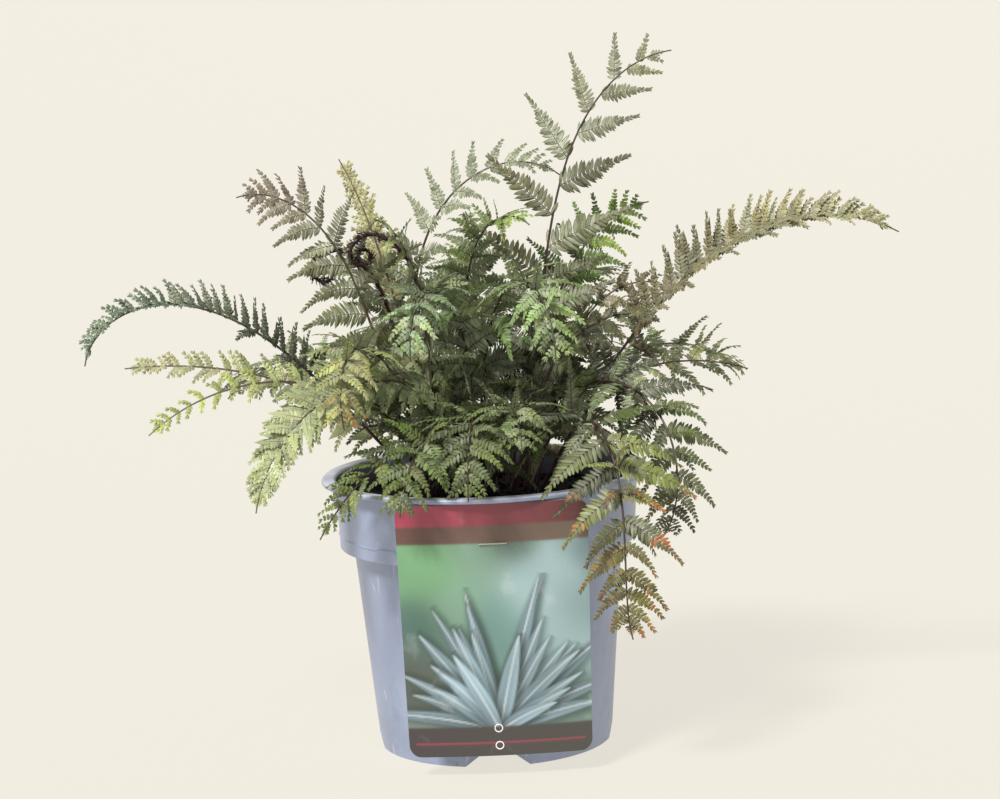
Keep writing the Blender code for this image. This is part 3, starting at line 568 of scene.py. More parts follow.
# How a frond looks and is filled out.  base, tip: colours; silver, rust: how much of each; turn:
# share of the frond from where rust begins; open_from: share from where it stands out of the tuft
# and has the solid's pinnae only; full_from: share of the bare stem from where it is leafy; lobed:
# half the width of the uncut middle of its pinnae, in lengths; dense: a brush with pinnae between
# the solid's.
Look = namedtuple("Look", "base tip silver rust turn open_from full_from lobed dense",
                  defaults=(0.0, 0.5, 1.0, 0.4, 0.0, False))
LOOKS = {
    "frond_tall_right": Look((88, 90, 70), (110, 112, 90), 0.9, open_from=0.46, full_from=0.5),
    "frond_arch_middle": Look((84, 94, 66), (98, 106, 84), 1.0, open_from=0.99, full_from=0.45),
    "frond_left_arch": Look((68, 72, 62), (94, 116, 104), 0.85, open_from=0.99, full_from=1.0,
                            lobed=0.07, dense=True),
    "frond_left_low": Look((162, 172, 132), (172, 182, 118), 0.32, open_from=0.99, full_from=0.6,
                           lobed=0.17),
    "frond_left_back": Look((136, 144, 108), (170, 168, 134), 0.35, open_from=0.6, full_from=0.5,
                            lobed=0.12, dense=True),
    "frond_left_upper": Look((120, 130, 88), (118, 104, 98), 0.8, open_from=0.99),
    "frond_left_pale": Look((146, 146, 110), (176, 172, 134), 0.32, rust=0.15, open_from=0.99,
                            full_from=0.38, lobed=0.09, dense=True),
    "frond_left_drop": Look((140, 152, 116), (172, 180, 144), 0.45, open_from=0.99, lobed=0.12,
                            dense=True),
    "frond_rim_left": Look((68, 86, 42), (102, 118, 56), 0.3),
    "frond_front_left": Look((56, 72, 36), (90, 106, 56), 0.35),
    "frond_front_centre": Look((54, 70, 34), (84, 98, 50), 0.4),
    "frond_front_middle": Look((72, 90, 54), (106, 124, 80), 0.7),
    "frond_rim_right": Look((76, 86, 48), (108, 104, 56), 0.45, rust=0.7, turn=0.35,
                            full_from=0.55),
    "frond_right_mass": Look((56, 72, 40), (76, 84, 48), 0.4, rust=0.45),
    "frond_right_flat": Look((108, 112, 82), (150, 154, 118), 0.45, rust=0.1, open_from=0.99),
    "frond_right_arch": Look((84, 74, 58), (156, 152, 124), 0.55, rust=0.1, open_from=0.99,
                             full_from=0.9, lobed=0.07, dense=True),
    "frond_right_dark": Look((66, 74, 46), (84, 88, 58), 0.3, rust=0.05),
    "frond_right_brown": Look((92, 84, 64), (112, 102, 80), 0.5, rust=0.2),
    "frond_right_green": Look((60, 90, 34), (104, 130, 56), 0.3),
    "frond_centre_face": Look((88, 112, 72), (136, 158, 116), 0.6),
    "frond_centre_blue": Look((84, 110, 84), (136, 158, 132), 0.85),
    "frond_left_tan": Look((100, 114, 76), (158, 152, 112), 0.5, rust=0.78, turn=0.62),
    "frond_top_left": Look((104, 122, 82), (142, 152, 112), 0.7),
    "frond_top_middle": Look((78, 104, 52), (116, 136, 78), 0.4),
    "young_frond_left": Look((44, 26, 30), (36, 20, 26), 0.0, open_from=0.99, full_from=1.0),
    "young_frond_middle": Look((44, 26, 30), (36, 20, 26), 0.0, open_from=0.99, full_from=1.0),
}
RING_LOOK = Look((80, 98, 60), (118, 132, 88), 0.55, 0.04)

# Tones that pinnae of one frond take inside the tuft: deep green, two olives, the plain colour,
# pale green, pale grey and tan.
TONES = ((0.14, 0.25, 0.14), (0.26, 0.29, 0.20), (0.66, 0.74, 0.48), (1.0, 1.0, 1.0),
         (1.65, 1.80, 1.30), (1.90, 1.98, 1.90), (1.90, 1.52, 1.25))
# Between which shares of a frond its tip's colour and its open tones come in, and its painted shade
# fades out.
TIP_COLOUR = (0.38, 0.86)
OPEN_TONES = (0.40, 0.78)
PAINTED_SHADE_FADE = (0.12, 0.50)
# Share of the tone that is left outside the tuft; painted shade: the light left at a frond's foot
# and the share lost by a frond's variety; and how the colours of pinnae scatter: along the frond,
# in brightness and in blue.
TONE_LEFT = 0.36
FOOT_PAINTED_LIGHT = 0.74
TUFT_PAINTED_SHADE = 0.16
TIP_SCATTER = 0.08
LIGHT_SCATTER = 0.34
SCATTER_LEFT = 0.4
BLUE_SCATTER = (-0.20, 0.04)

# Numbers of the materials on a frond's piece.
UPPER_SKIN, STALK, LOWER_SKIN = range(3)


def mixed(look, u, draw, variety=1.0):
    """A leaf colour at the share u of the frond: more varied down inside the tuft, and darker there
    with painted shade.
    """
    base, tip = linear(look.base), linear(look.tip)
    colour = base + (tip - base) * within(u + draw.uniform(-TIP_SCATTER, TIP_SCATTER), *TIP_COLOUR)
    inside = 1 - within(u, *OPEN_TONES)
    tone = np.array(draw.choice(TONES)) - 1
    tone = 1 + tone * (TONE_LEFT + (1 - TONE_LEFT) * inside) * variety
    # Painted shade: darker towards the frond's foot and on pinnae of fronds inside the tuft, where
    # shade falls.
    shade = FOOT_PAINTED_LIGHT + (1 - FOOT_PAINTED_LIGHT) * within(u, *PAINTED_SHADE_FADE)
    shade *= 1 - TUFT_PAINTED_SHADE * variety
    scatter = LIGHT_SCATTER * (SCATTER_LEFT + (1 - SCATTER_LEFT) * variety)
    light = 1 + draw.uniform(-scatter, scatter)
    return colour * tone * shade * light * (1, 1, 1 + draw.uniform(*BLUE_SCATTER))


def blade_template():
    """A toothed leaflet one unit long and two wide, as a lens whose two skins share their edge.

    A place is its share along and across, how near the edge it is, and the skin that it is on.
    """
    along = (0.0, 0.34, 0.72)
    half = (0.62, 1.0, 0.70)
    places = []
    for t, w in zip(along, half):
        places += [(t + 0.05 * w, -w, 1.0, 0.0), (t, 0.0, 0.0, 1.0), (t + 0.05 * w, w, 1.0, 0.0)]
    places.append((1.0, 0.0, 0.35, 0.0))
    tip, last = len(places) - 1, len(along) - 1
    below = {}
    for k, t in enumerate(along):
        below[3 * k + 1] = len(places)
        places.append((t, 0.0, 0.0, -1.0))
    quads = []
    for k in range(last):
        right, rib, left = 3 * k, 3 * k + 1, 3 * k + 2
        quads += [(right, right + 3, rib + 3, rib), (rib, rib + 3, left + 3, left)]
    right, rib, left = 3 * last, 3 * last + 1, 3 * last + 2
    tris = [(right, tip, rib), (rib, tip, left)]
    under = [[tuple(below.get(i, i) for i in reversed(face)) for face in faces]
             for faces in (quads, tris)]
    under[1] += [(0, 1, below[1]), (1, 2, below[1])]
    return [np.array(rows) for rows in (places, quads, tris, *under)]


BLADE_PLACES, UPPER_QUADS, UPPER_TRIS, UNDER_QUADS, UNDER_TRIS = blade_template()


def add_blades(build, leaflets):
    """Many leaflets at once.  Each is its spot, tint, silver, rust and a number of its own.

    A spot is origin, forward, normal, length, half width, droop and cup.
    """
    spots, tint, silver, rust, own = zip(*leaflets)
    origin, forward, normal = [np.array([spot[k] for spot in spots]) for k in range(3)]
    length, half, droop, cup = [np.array([spot[k] for spot in spots])[:, None] for k in range(3, 7)]
    forward /= np.linalg.norm(forward, axis=1)[:, None]
    left = np.cross(normal, forward)
    left /= np.linalg.norm(left, axis=1)[:, None]
    normal = np.cross(forward, left)
    x, y, w, level = BLADE_PLACES.T
    rise = -droop * length * x ** 2 - cup * half * np.abs(y) ** 1.5 + level * LEAF_THICKNESS / 2
    verts = (origin[:, None] + forward[:, None] * (x * length)[..., None]
             + left[:, None] * (y * half)[..., None] + normal[:, None] * rise[..., None])
    count, each = verts.shape[:2]
    share, across = np.tile(x, (count, 1)), np.tile(w, (count, 1))
    silver, rust, own = [np.broadcast_to(np.asarray(values)[:, None], share.shape)
                         for values in (silver, rust, own)]
    blade = np.stack([share, across, silver], axis=2).reshape(-1, 3)
    age = np.stack([rust, 0 * share, own], axis=2).reshape(-1, 3)
    tints = np.repeat(np.asarray(tint)[:, None], each, axis=1).reshape(-1, 3)
    step = (np.arange(count) * each)[:, None, None]
    upper, under = [[(faces[None] + step).reshape(-1, faces.shape[1]) for faces in skin]
                    for skin in ((UPPER_QUADS, UPPER_TRIS), (UNDER_QUADS, UNDER_TRIS))]
    first = build.add(verts.reshape(-1, 3), *upper, UPPER_SKIN, tints, blade, age)
    build.add_faces(*under, LOWER_SKIN, first)


def shape_tree(node):
    """A tree of the CAD node's corners."""
    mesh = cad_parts[node].data
    tree = kdtree.KDTree(len(mesh.vertices))
    for i, vert in enumerate(mesh.vertices):
        tree.insert(vert.co, i)
    tree.balance()
    return tree


def as_led(frond, foot, tree):
    """The frond with the lead that its solid was given, and its path: the two share their tip."""
    best = None
    for turn, tilt in STEM_BENDS:
        bent = frond._replace(azimuth=frond.azimuth + turn, lean=frond.lean + tilt)
        path = stem_path(bent, foot)
        miss = max(tree.find(path[-1])[2], tree.find(point_on(path, STEM_TEST))[2] / 3)
        if best is None or miss < best[0] - 1e-6:
            best = (miss, bent, path)
        if miss < STEM_MATCH:
            break
    return best[1:]


def as_bent(frond, path, station, tree):
    """The bend that the solid's pinna was given, or None where it has none there."""
    found = [(tree.find(pinna_tip(frond, path, station, bend))[2], i)
             for i, bend in enumerate(PINNA_BENDS)]
    miss, i = min(found)
    return PINNA_BENDS[i] if miss < PINNA_MATCH else None


def leaflet_reach(share, length):
    """Length of the leaflets at the share of a pinna's length, relatively longer on a short one."""
    stout = 1 + SHORT_STOUTNESS * max(0.0, 1 - length / SHORT_PINNA)
    taper = max(0.0, 1 - (share / TAIL_FROM) ** 1.9) ** 0.9
    return length * LEAFLET_REACH * stout * taper * min(1.0, 0.76 + 1.3 * share)


def add_pinna(build, frond, path, station, bend, look, draw, loose=OWN_LOOSE, sag=1.0):
    """One pinna: its rib and two rows of leaflets, shorter towards its drawn-out tip."""
    u = station[0]
    length = station[3] * bend[2]
    pairs = max(3, int(length / max(LEAST_PITCH, LEAFLET_PITCH * length)))
    steps = pairs + 2
    points, headings, normals = pinna_line(frond, path, station, bend, steps, sag)
    is_open = look.open_from < 1.0
    roll = draw.uniform(-loose, loose)
    tint = mixed(look, u, draw, OPEN_VARIETY if is_open else 1.0)
    pale = draw.uniform(*PALE_SCATTER)
    greener = np.array(GREENER) * (OPEN_GREENER if is_open else 1.0)
    turning = within(u, look.turn, look.turn + 0.3)

    ribs = np.tile(linear(MAROON) * 1.2 + tint * 0.25, (steps + 1, 1))
    radii = np.linspace(1.0, RIB_TIP, steps + 1) * RIB_RADIUS * min(1.0, 0.5 + length / 0.05)
    add_tube(build, points - normals * LEAF_THICKNESS * 0.6, radii, RIB_SIDES, ribs, STALK)

    leaflets = []
    pitch = length / (pairs + 1)
    uneven = 0.08 + 0.17 * within(length, SHORT_PINNA / 3, 1.6 * SHORT_PINNA)
    width = LEAFLET_WIDTH * (1 + SHORT_BROADENING * within(length, SHORT_PINNA, SHORT_PINNA / 3))
    for k in range(pairs + 2):
        share = (k + 0.35) / (pairs + 1)
        if share > 1.0:
            break
        at = share * steps
        low = min(steps - 1, int(at))
        mix = at - low
        place = points[low] * (1 - mix) + points[low + 1] * mix
        heading, normal = headings[low], normals[low]
        across = np.cross(normal, heading)
        normal = normal * math.cos(roll) + across * math.sin(roll)
        across = np.cross(normal, heading)
        tail = within(share, *TAIL)
        green = math.sin(math.pi * within(share, *GREEN_PART))
        reach = max(leaflet_reach(share, length), pitch * (1.1 + 0.5 * tail))
        slim = LEAFLET_STOUT - TAIL_SLIMMING * tail
        lying = LEAFLET_LEAN - LEAN_LOSS * share - TAIL_LEAN_LOSS * tail
        for way in (1, -1):
            lean = math.radians(lying + draw.uniform(*LEAN_SCATTER))
            forward = heading * math.cos(lean) + across * way * math.sin(lean)
            forward = forward - normal * (LEAFLET_DROOP * 0.6 + draw.uniform(*RISE_SCATTER))
            upward = normal + forward * 0.1 + heading * draw.uniform(-uneven, uneven)
            size = reach * draw.uniform(*SIZE_SCATTER)
            half = pitch * width / 2 * draw.uniform(*WIDTH_SCATTER)
            spot = (place, forward, upward, size, min(half, size * slim),
                    draw.uniform(*DROOP_SCATTER), draw.uniform(*CUP_SCATTER))
            leaflets.append((
                spot, tint * draw.uniform(*TINT_SCATTER) * (1 + green * greener),
                look.silver * pale * draw.uniform(*SILVER_SCATTER)
                * (1.1 - 0.5 * share) * (1.3 - 0.6 * u),
                look.rust * (0.35 + 0.65 * share) * turning * draw.uniform(*RUST_SCATTER),
                draw.random()))

    end = pitch * END_LEAFLET
    ends = [(points[-2], headings[-1], normals[-1], end, pitch * 0.2, 0.1, 0.1)]
    if look.lobed:
        half = length * look.lobed
        ends.append((points[0], headings[0], normals[0], length * 0.92, half, 0.12, 0.2))
    for spot in ends:
        leaflets.append((spot, tint, look.silver * 0.4, look.rust * turning, draw.random()))
    add_blades(build, leaflets)


def added(draw, scatter, u, hand, angle, length, lifting=1.0):
    """An added pinna near a station: the station, its bend, its sag and how loosely it lies."""
    station = (u + (draw.uniform(-scatter.along, scatter.along) if scatter.along else 0.0), hand,
               angle + draw.uniform(*scatter.angle), length * draw.uniform(*scatter.length))
    if scatter.lift[0] > 0:
        lifting = draw.choice((-1, 1))
    bend = (0, draw.uniform(*scatter.lift) * lifting, 1.0)
    return station, bend, draw.uniform(*scatter.sag), scatter.loose


def fuller(frond, look, stations, draw):
    """Further pinnae, smaller than the solid's, opposite its own and down the stem in the tuft."""
    extra = []
    for i, (u, hand, angle, length) in enumerate(stations):
        if u > look.open_from:
            continue
        nearness = 1 - i / len(stations)
        extra.append(added(draw, OPPOSITE, u, -hand, angle, length, nearness))
        if look.open_from == 1.0 and nearness > LIFTED_BELOW:
            extra += [added(draw, LIFTED, u, way, angle, length) for way in (hand, -hand)]
    if look.dense:
        for (u, _, angle, length), (v, _, after, less) in zip(stations, stations[1:]):
            middle = (angle + after) / 2, (length + less) / 2
            extra += [added(draw, BETWEEN, (u + v) / 2, way, *middle) for way in (1, -1)]
    low = look.full_from * frond.bare
    count = int((frond.bare - low) * frond.length / FILL_PITCH)
    for k in range(count):
        share = (k + 0.5) / count
        length = max(frond.reach, LEAST_FILLING) * (0.50 + 0.42 * share)
        u = low + (frond.bare - low) * share
        extra.append(added(draw, FILLING, u, 1 if k % 2 else -1, FILL_ANGLE, length))
    return extra


def kept_in(frond, path, station, bend, sag):
    """The bend of an added pinna, shortened until its tip is hardly outside the solids' box."""
    lowest, highest = cad_box
    for keep in SHORTENINGS:
        shorter = (bend[0], bend[1], bend[2] * keep)
        tip = pinna_line(frond, path, station, shorter, TRIAL_STEPS, sag)[0][-1]
        if all(low - PROUD < at < high + PROUD for low, at, high in zip(lowest, tip, highest)):
            break
    return shorter


def add_tip(build, frond, path, look, draw, begin):
    """Small simple leaflets that shorten to nothing along the drawn-out end of the frond."""
    leaflets = []
    for k in range(TIP_LEAFLETS):
        share = k / TIP_LEAFLETS
        u = begin + (TIP_END - begin) * share
        along, side, upper = stem_frame(frond, u)
        hand = 1 if k % 2 else -1
        lean = math.radians(TIP_LEAN - TIP_LEAN_LOSS * share + draw.uniform(-5, 5))
        forward = along * math.cos(lean) + side * hand * math.sin(lean)
        size = TIP_LEAFLET * (1 - share) ** 0.8 + 0.0006
        spot = (np.array(point_on(path, u)), np.array(forward), np.array(upper), size, size * 0.21,
                draw.uniform(0.0, 0.2), 0.2)
        leaflets.append((spot, mixed(look, 1.0, draw), look.silver * 0.5, look.rust, draw.random()))
    add_blades(build, leaflets)


def add_scales(build, frond, path, look, draw):
    """The dark papery scales that clothe a frond that is still coiled."""
    scales = []
    for k in range(SCALES):
        u = SCALES_FROM + (SCALES_TO - SCALES_FROM) * (k + draw.random()) / SCALES
        along, side, upper = stem_frame(frond, u)
        turn = draw.uniform(0, 2 * math.pi)
        out = side * math.cos(turn) + upper * math.sin(turn)
        lean = math.radians(draw.uniform(*SCALE_LEANS))
        forward = along * math.cos(lean) + out * math.sin(lean)
        size = draw.uniform(*SCALE_LENGTHS) * (0.55 + 0.45 * min(1.0, (u - SCALES_FROM) / 0.25))
        spot = (np.array(point_on(path, u)) + np.array(out) * STEM_RADIUS * 0.4, np.array(forward),
                np.array(out), size, size * draw.uniform(*SCALE_STOUT),
                draw.uniform(*SCALE_DROOPS), 0.2)
        scales.append((spot, linear(look.base) * draw.uniform(0.6, 1.5), 0.0, 0.0, 0.0))
    add_blades(build, scales)


def add_stem(build, frond, path, look):
    """The stem, round and dark, thinning from its foot in the soil to the frond's tip."""
    points = [path[0] + (path[0] - path[1]).normalized() * HOLE_DEPTH] + path[::2]
    shares = np.concatenate([[0.0], np.linspace(0, 1, len(path[::2]))])
    thinning = YOUNG_THINNING if young(frond) else STEM_THINNING
    radii = STEM_RADIUS * STEM_SLIMMING * (1 - thinning * shares)
    dark, green = linear(MAROON), linear(look.base)
    tints = [dark * 0.9 * (1 - 0.3 * s) + green * 0.35 * s for s in shares]
    add_tube(build, [tuple(p) for p in points], radii, STEM_SIDES, tints, STALK)


def build_frond(frond, foot, materials):
    """The leafy piece that stands for a frond's solid."""
    tree = shape_tree(frond.name)
    led, path = as_led(frond, foot, tree)
    look = LOOKS.get(frond.name, RING_LOOK)
    draw = random.Random(f"{SEED}{frond.name}")
    build = Build()
    add_stem(build, led, path, look)
    stations = pinna_stations(led)
    for station in stations:
        bend = as_bent(led, path, station, tree)
        if bend:
            add_pinna(build, led, path, station, bend, look, draw)
    for station, bend, sag, loose in fuller(led, look, stations, draw):
        if station[3] > LEAST_PINNA:
            bend = kept_in(led, path, station, bend, sag)
            add_pinna(build, led, path, station, bend, look, draw, loose, sag)
    if young(frond):
        add_scales(build, led, path, look, draw)
    add_tip(build, led, path, look, draw, stations[-1][0] + 0.004)
    piece = build.finish("leafy_" + frond.name, materials)
    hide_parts(frond.name)
    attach(piece, "root")


# ---------------------------------------------------------------- materials

def rgb(*colour):
    """An 8-bit display colour as a plain linear tuple."""
    return tuple(linear(colour))


class Nodes:
    """Short hand for building one material's node tree."""

    def __init__(self, name):
        self.material = bpy.data.materials.new(name)
        self.material.use_nodes = True
        self.tree = self.material.node_tree
        self.shader = self.tree.nodes["Principled BSDF"]

    def new(self, kind, **settings):
        node = self.tree.nodes.new("ShaderNode" + kind)
        for key, value in settings.items():
            setattr(node, key, value)
        return node

    def put(self, value, socket):
        if isinstance(value, bpy.types.NodeSocket):
            self.tree.links.new(value, socket)
        else:
            socket.default_value = value

    def attribute(self, name, output):
        return self.new("Attribute", attribute_name=name).outputs[output]

    def split(self, vector):
        node = self.new("SeparateXYZ")
        self.put(vector, node.inputs[0])
        return node.outputs

    def place(self):
        return self.new("TexCoord").outputs["Object"]

    def noise(self, scale, detail=3.0, roughness=0.5, vector=None, distortion=0.0):
        node = self.new("TexNoise")
        given = {"Scale": scale, "Detail": detail, "Roughness": roughness, "Distortion": distortion,
                 "Vector": vector or self.place()}
        for name, value in given.items():
            self.put(value, node.inputs[name])
        return node.outputs["Fac"]

    def math(self, operation, *values, clamp=False):
        node = self.new("Math", operation=operation, use_clamp=clamp)
        for value, socket in zip(values, node.inputs):
            self.put(value, socket)
        return node.outputs[0]

    def times(self, a, b, clamp=False):
        return self.math("MULTIPLY", a, b, clamp=clamp)

    def plus(self, a, b):
        return self.math("ADD", a, b)

    def minus(self, a, b):
        return self.math("SUBTRACT", a, b)

    def ramp(self, value, low, high, to_low=0.0, to_high=1.0):
        node = self.new("MapRange", interpolation_type="SMOOTHSTEP")
        for socket, given in zip(node.inputs, (value, low, high, to_low, to_high)):
            self.put(given, socket)
        return node.outputs[0]

    def mix(self, share, a, b, blend="MIX"):
        node = self.new("Mix", data_type="RGBA", blend_type=blend)
        self.put(share, node.inputs["Factor"])
        for value, socket in ((a, node.inputs[6]), (b, node.inputs[7])):
            self.put(value if isinstance(value, bpy.types.NodeSocket) else (*value, 1.0), socket)
        return node.outputs[2]

    def shaded(self, share, a, b):
        return self.mix(share, a, b, "MULTIPLY")

    def bump(self, height, strength, distance):
        node = self.new("Bump")
        for name, value in (("Strength", strength), ("Distance", distance), ("Height", height)):
            self.put(value, node.inputs[name])
        self.put(node.outputs[0], self.shader.inputs["Normal"])

    def done(self, colour, roughness, specular=0.5, metallic=0.0):
        for name, value in (("Base Color", colour), ("Roughness", roughness),
                            ("Specular IOR Level", specular), ("Metallic", metallic)):
            self.put(value, self.shader.inputs[name])
        return self.material


VEINS = 6.0
VEIN_SLANT = 1.3


def leaf_material(name, beneath):
    """Leaf skin: a silver sheen down each leaflet's middle, dark ribs, veins and rusty ends."""
    n = Nodes(name)
    tint = n.attribute("tint", "Color")
    along, across, silver = n.split(n.attribute("blade", "Vector"))
    rust, _, own = n.split(n.attribute("age", "Vector"))
    cloud = n.noise(420.0, 4.0, 0.6)
    broad = n.noise(38.0, 2.0)
    tint = n.shaded(n.ramp(broad, 0.35, 0.7, 0.0, 0.35), tint, (0.55, 0.6, 0.4))
    tint = n.shaded(n.ramp(cloud, 0.3, 0.75, 0.0, 0.4), tint, (1.25, 1.2, 1.05))
    edge = n.math("POWER", across, 1.6)
    sheen = n.times(silver, n.minus(1.0, n.times(edge, 0.75)))
    sheen = n.times(sheen, n.ramp(along, 1.05, 0.25, 0.35, 1.0))
    sheen = n.times(sheen, n.ramp(cloud, 0.25, 0.65, 0.55, 1.1))
    sheen = n.times(sheen, n.ramp(broad, 0.3, 0.6, 0.35, 1.1), True)
    colour = n.mix(sheen, tint, rgb(*SILVER))
    stripes = n.math("FRACT", n.minus(n.times(along, VEINS), n.times(across, VEIN_SLANT)))
    vein = n.ramp(n.math("ABSOLUTE", n.minus(stripes, 0.5)), 0.0, 0.16, 1.0, 0.0)
    colour = n.shaded(n.times(vein, 0.28), colour, (0.42, 0.46, 0.3))
    rib = n.times(n.ramp(across, 0.05, 0.16, 1.0, 0.0), n.ramp(along, 0.9, 0.2, 0.0, 0.75))
    colour = n.mix(rib, colour, tuple(linear(MAROON) * 1.5))
    colour = n.shaded(n.ramp(across, 0.66, 1.0, 0.0, 0.60), colour, (0.6, 0.66, 0.5))
    scorched = n.plus(n.times(across, 0.25), n.times(own, 0.55))
    scorched = n.plus(scorched, n.ramp(n.noise(95.0), 0.3, 0.7))
    scorched = n.ramp(n.times(scorched, rust), 0.38, 0.85, 0.0, 0.9)
    colour = n.mix(scorched, colour, n.mix(cloud, (0.46, 0.17, 0.045), (0.25, 0.10, 0.04)))
    if beneath:
        colour = n.mix(0.35, colour, (0.30, 0.34, 0.22))
    n.bump(n.plus(n.times(vein, -0.6), cloud), 0.35, 0.00025)
    return n.done(colour, n.ramp(cloud, 0.3, 0.8, 0.40, 0.58), 0.35)


def stem_material():
    """Dark wiry stems, flecked and in places brown."""
    n = Nodes("fern_stem")
    fleck = n.noise(900.0, 3.0, 0.7)
    tint = n.attribute("tint", "Color")
    colour = n.shaded(n.ramp(fleck, 0.35, 0.7, 0.0, 0.7), tint, (0.5, 0.4, 0.42))
    colour = n.mix(n.ramp(n.noise(70.0), 0.55, 0.75, 0.0, 0.35), colour, (0.12, 0.07, 0.05))
    n.bump(fleck, 0.4, 0.0002)
    return n.done(colour, n.ramp(fleck, 0.2, 0.8, 0.36, 0.55), 0.5)


def inside_of_pot(n, place, height):
    """1 on the wall's inside above the bead and 0 elsewhere, from the distance to the axis."""
    flat = n.new("VectorMath", operation="MULTIPLY")
    flat.inputs[1].default_value = (1.0, 1.0, 0.0)
    n.put(place, flat.inputs[0])
    radius = n.new("VectorMath", operation="LENGTH")
    n.put(flat.outputs[0], radius.inputs[0])
    slope = (COLLAR_RADIUS - COLLAR_WAIST) / (POT_HEIGHT - COLLAR_BOTTOM)
    wall = n.plus(n.times(height, slope), COLLAR_WAIST - WALL / 2 - COLLAR_BOTTOM * slope)
    inside = n.ramp(n.minus(wall, radius.outputs["Value"]), -0.0002, 0.0002)
    return n.times(inside, n.ramp(height, BEAD_HEIGHT, BEAD_HEIGHT + 0.001))


def pot_material():
    """Grey-lilac moulded plastic: flow marks, scuffs, a rim top paled by wear and a painted
    highlight, and painted shade inside.
    """
    n = Nodes("pot_plastic")
    place = n.place()
    height = n.split(place)[2]
    stretched = n.new("Mapping")
    stretched.inputs["Scale"].default_value = (1.0, 1.0, 0.12)
    n.put(place, stretched.inputs["Vector"])
    streaks = n.noise(55.0, 4.0, 0.6, stretched.outputs[0])
    cloud = n.noise(24.0, 5.0, 0.6)
    speck = n.noise(1600.0, 2.0, 0.6)
    dirt = n.ramp(n.noise(130.0, 5.0, 0.7), 0.52, 0.75)
    scratches = n.noise(210.0, 2.0, 0.5, stretched.outputs[0], 1.5)
    colour = n.mix(n.ramp(cloud, 0.3, 0.7), rgb(132, 143, 170), rgb(150, 160, 187))
    # Painted shade: the wall's inside darkens from the rim down towards the peat, where shade
    # falls.
    painted_inner_shade = n.ramp(height, POT_HEIGHT - 0.001, SOIL_TOP + 0.002, 0.45, 0.94)
    painted_inner_shade = n.times(painted_inner_shade, n.ramp(cloud, 0.2, 0.6, 0.75, 1.0))
    for share, paint in (
            (n.ramp(streaks, 0.45, 0.75, 0.0, 0.5), (158, 166, 190)),
            (n.ramp(speck, 0.62, 0.72, 0.0, 0.35), (176, 182, 202)),
            # The rim's top paler: partly rubbed wear, partly a painted highlight where the light
            # falls on it.
            (n.ramp(height, POT_HEIGHT - 0.0012, POT_HEIGHT - 0.0002, 0.0, 0.6), (206, 209, 218)),
            (n.times(dirt, n.ramp(height, 0.03, 0.0, 0.1, 0.6)), (104, 98, 100)),
            (n.ramp(scratches, 0.66, 0.7, 0.0, 0.4), (200, 203, 212)),
            # Painted shade on the wall's inside, in a dark blue-grey.
            (n.times(painted_inner_shade, inside_of_pot(n, place, height)), (34, 34, 42))):
        colour = n.mix(share, colour, rgb(*paint))
    n.bump(n.plus(speck, n.times(streaks, 0.8)), 0.12, 0.0003)
    return n.done(colour, n.ramp(cloud, 0.25, 0.75, 0.34, 0.46), 0.5)


def soil_material():
    """Black peat with browner lumps and pale fibres."""
    n = Nodes("peat")
    grain = n.noise(900.0, 6.0, 0.7)
    lump = n.noise(160.0, 4.0, 0.6)
    fibre = n.noise(420.0, 2.0, 0.5, None, 2.5)
    colour = n.mix(n.ramp(grain, 0.35, 0.7), rgb(7, 5, 8), rgb(24, 19, 19))
    colour = n.mix(n.ramp(lump, 0.55, 0.75, 0.0, 0.5), colour, rgb(44, 34, 30))
    colour = n.mix(n.ramp(fibre, 0.63, 0.68, 0.0, 0.55), colour, rgb(78, 60, 46))
    n.bump(n.plus(grain, lump), 0.9, 0.0008)
    return n.done(colour, 0.9, 0.2)


def print_material():
    """Coated card: the printed colours, a fine screen of ink and a soft gloss."""
    n = Nodes("label_print")
    screen = n.noise(2200.0, 2.0, 0.6)
    crease = n.noise(60.0, 3.0)
    tint = n.attribute("tint", "Color")
    colour = n.shaded(n.ramp(screen, 0.3, 0.7, 0.0, 0.22), tint, (0.8, 0.82, 0.84))
    colour = n.mix(n.ramp(crease, 0.6, 0.75, 0.0, 0.10), colour, (0.9, 0.9, 0.9))
    n.bump(n.plus(crease, n.times(screen, 0.15)), 0.15, 0.0004)
    n.shader.inputs["Coat Weight"].default_value = 0.15
    n.shader.inputs["Coat Roughness"].default_value = 0.2
    return n.done(colour, n.ramp(crease, 0.3, 0.7, 0.26, 0.36), 0.5)


def wire_material():
    """Drawn steel wire."""
    n = Nodes("staple_steel")
    grain = n.noise(1800.0, 3.0)
    colour = n.mix(n.ramp(grain, 0.3, 0.7), (0.62, 0.60, 0.55), (0.42, 0.40, 0.38))
    n.bump(grain, 0.2, 0.0001)
    return n.done(colour, n.ramp(grain, 0.3, 0.7, 0.25, 0.45), 0.5, 1.0)


def floor_material():
    """Pale matt paper, lit a little from within so that it matches the photo's ground."""
    n = Nodes("studio_floor")
    colour = n.mix(n.noise(1.3, 3.0), FLOOR_COLOUR, tuple(0.985 * v for v in FLOOR_COLOUR))
    n.shader.inputs["Emission Color"].default_value = (*FLOOR_GLOW, 1.0)
    n.shader.inputs["Emission Strength"].default_value = 1.0
    return n.done(colour, 0.9, 0.1)


# ---------------------------------------------------------------- pot, soil, label

POT_TURNS = 168
POT_ROUNDING = 0.0005
POT_SHARP = 38
PAD_SLOPE = 0.001
NOTCH_BELOW = -0.002
NOTCH_SPAN = (FOOT_RADIUS - FOOT_WIDTH - 0.004, FOOT_RADIUS + 0.006)
NOTCH_FIRST = -90

# The peat's rows and points in each, its relief (waves a metre, seed, height) and its crumbs.
PEAT_ROWS = 58
PEAT_TURNS = 150
PEAT_EDGE = COLLAR_WAIST - WALL + 0.0009
PEAT_RELIEF = ((190, 7.7, 0.0011), (620, 1.3, 0.0006))
PEAT_DEPTH = 0.016
PEAT_BOTTOM = 0.11
CRUMBS = 520
CRUMB_LEAST = 0.0004
CRUMB_RANGE = 0.0013


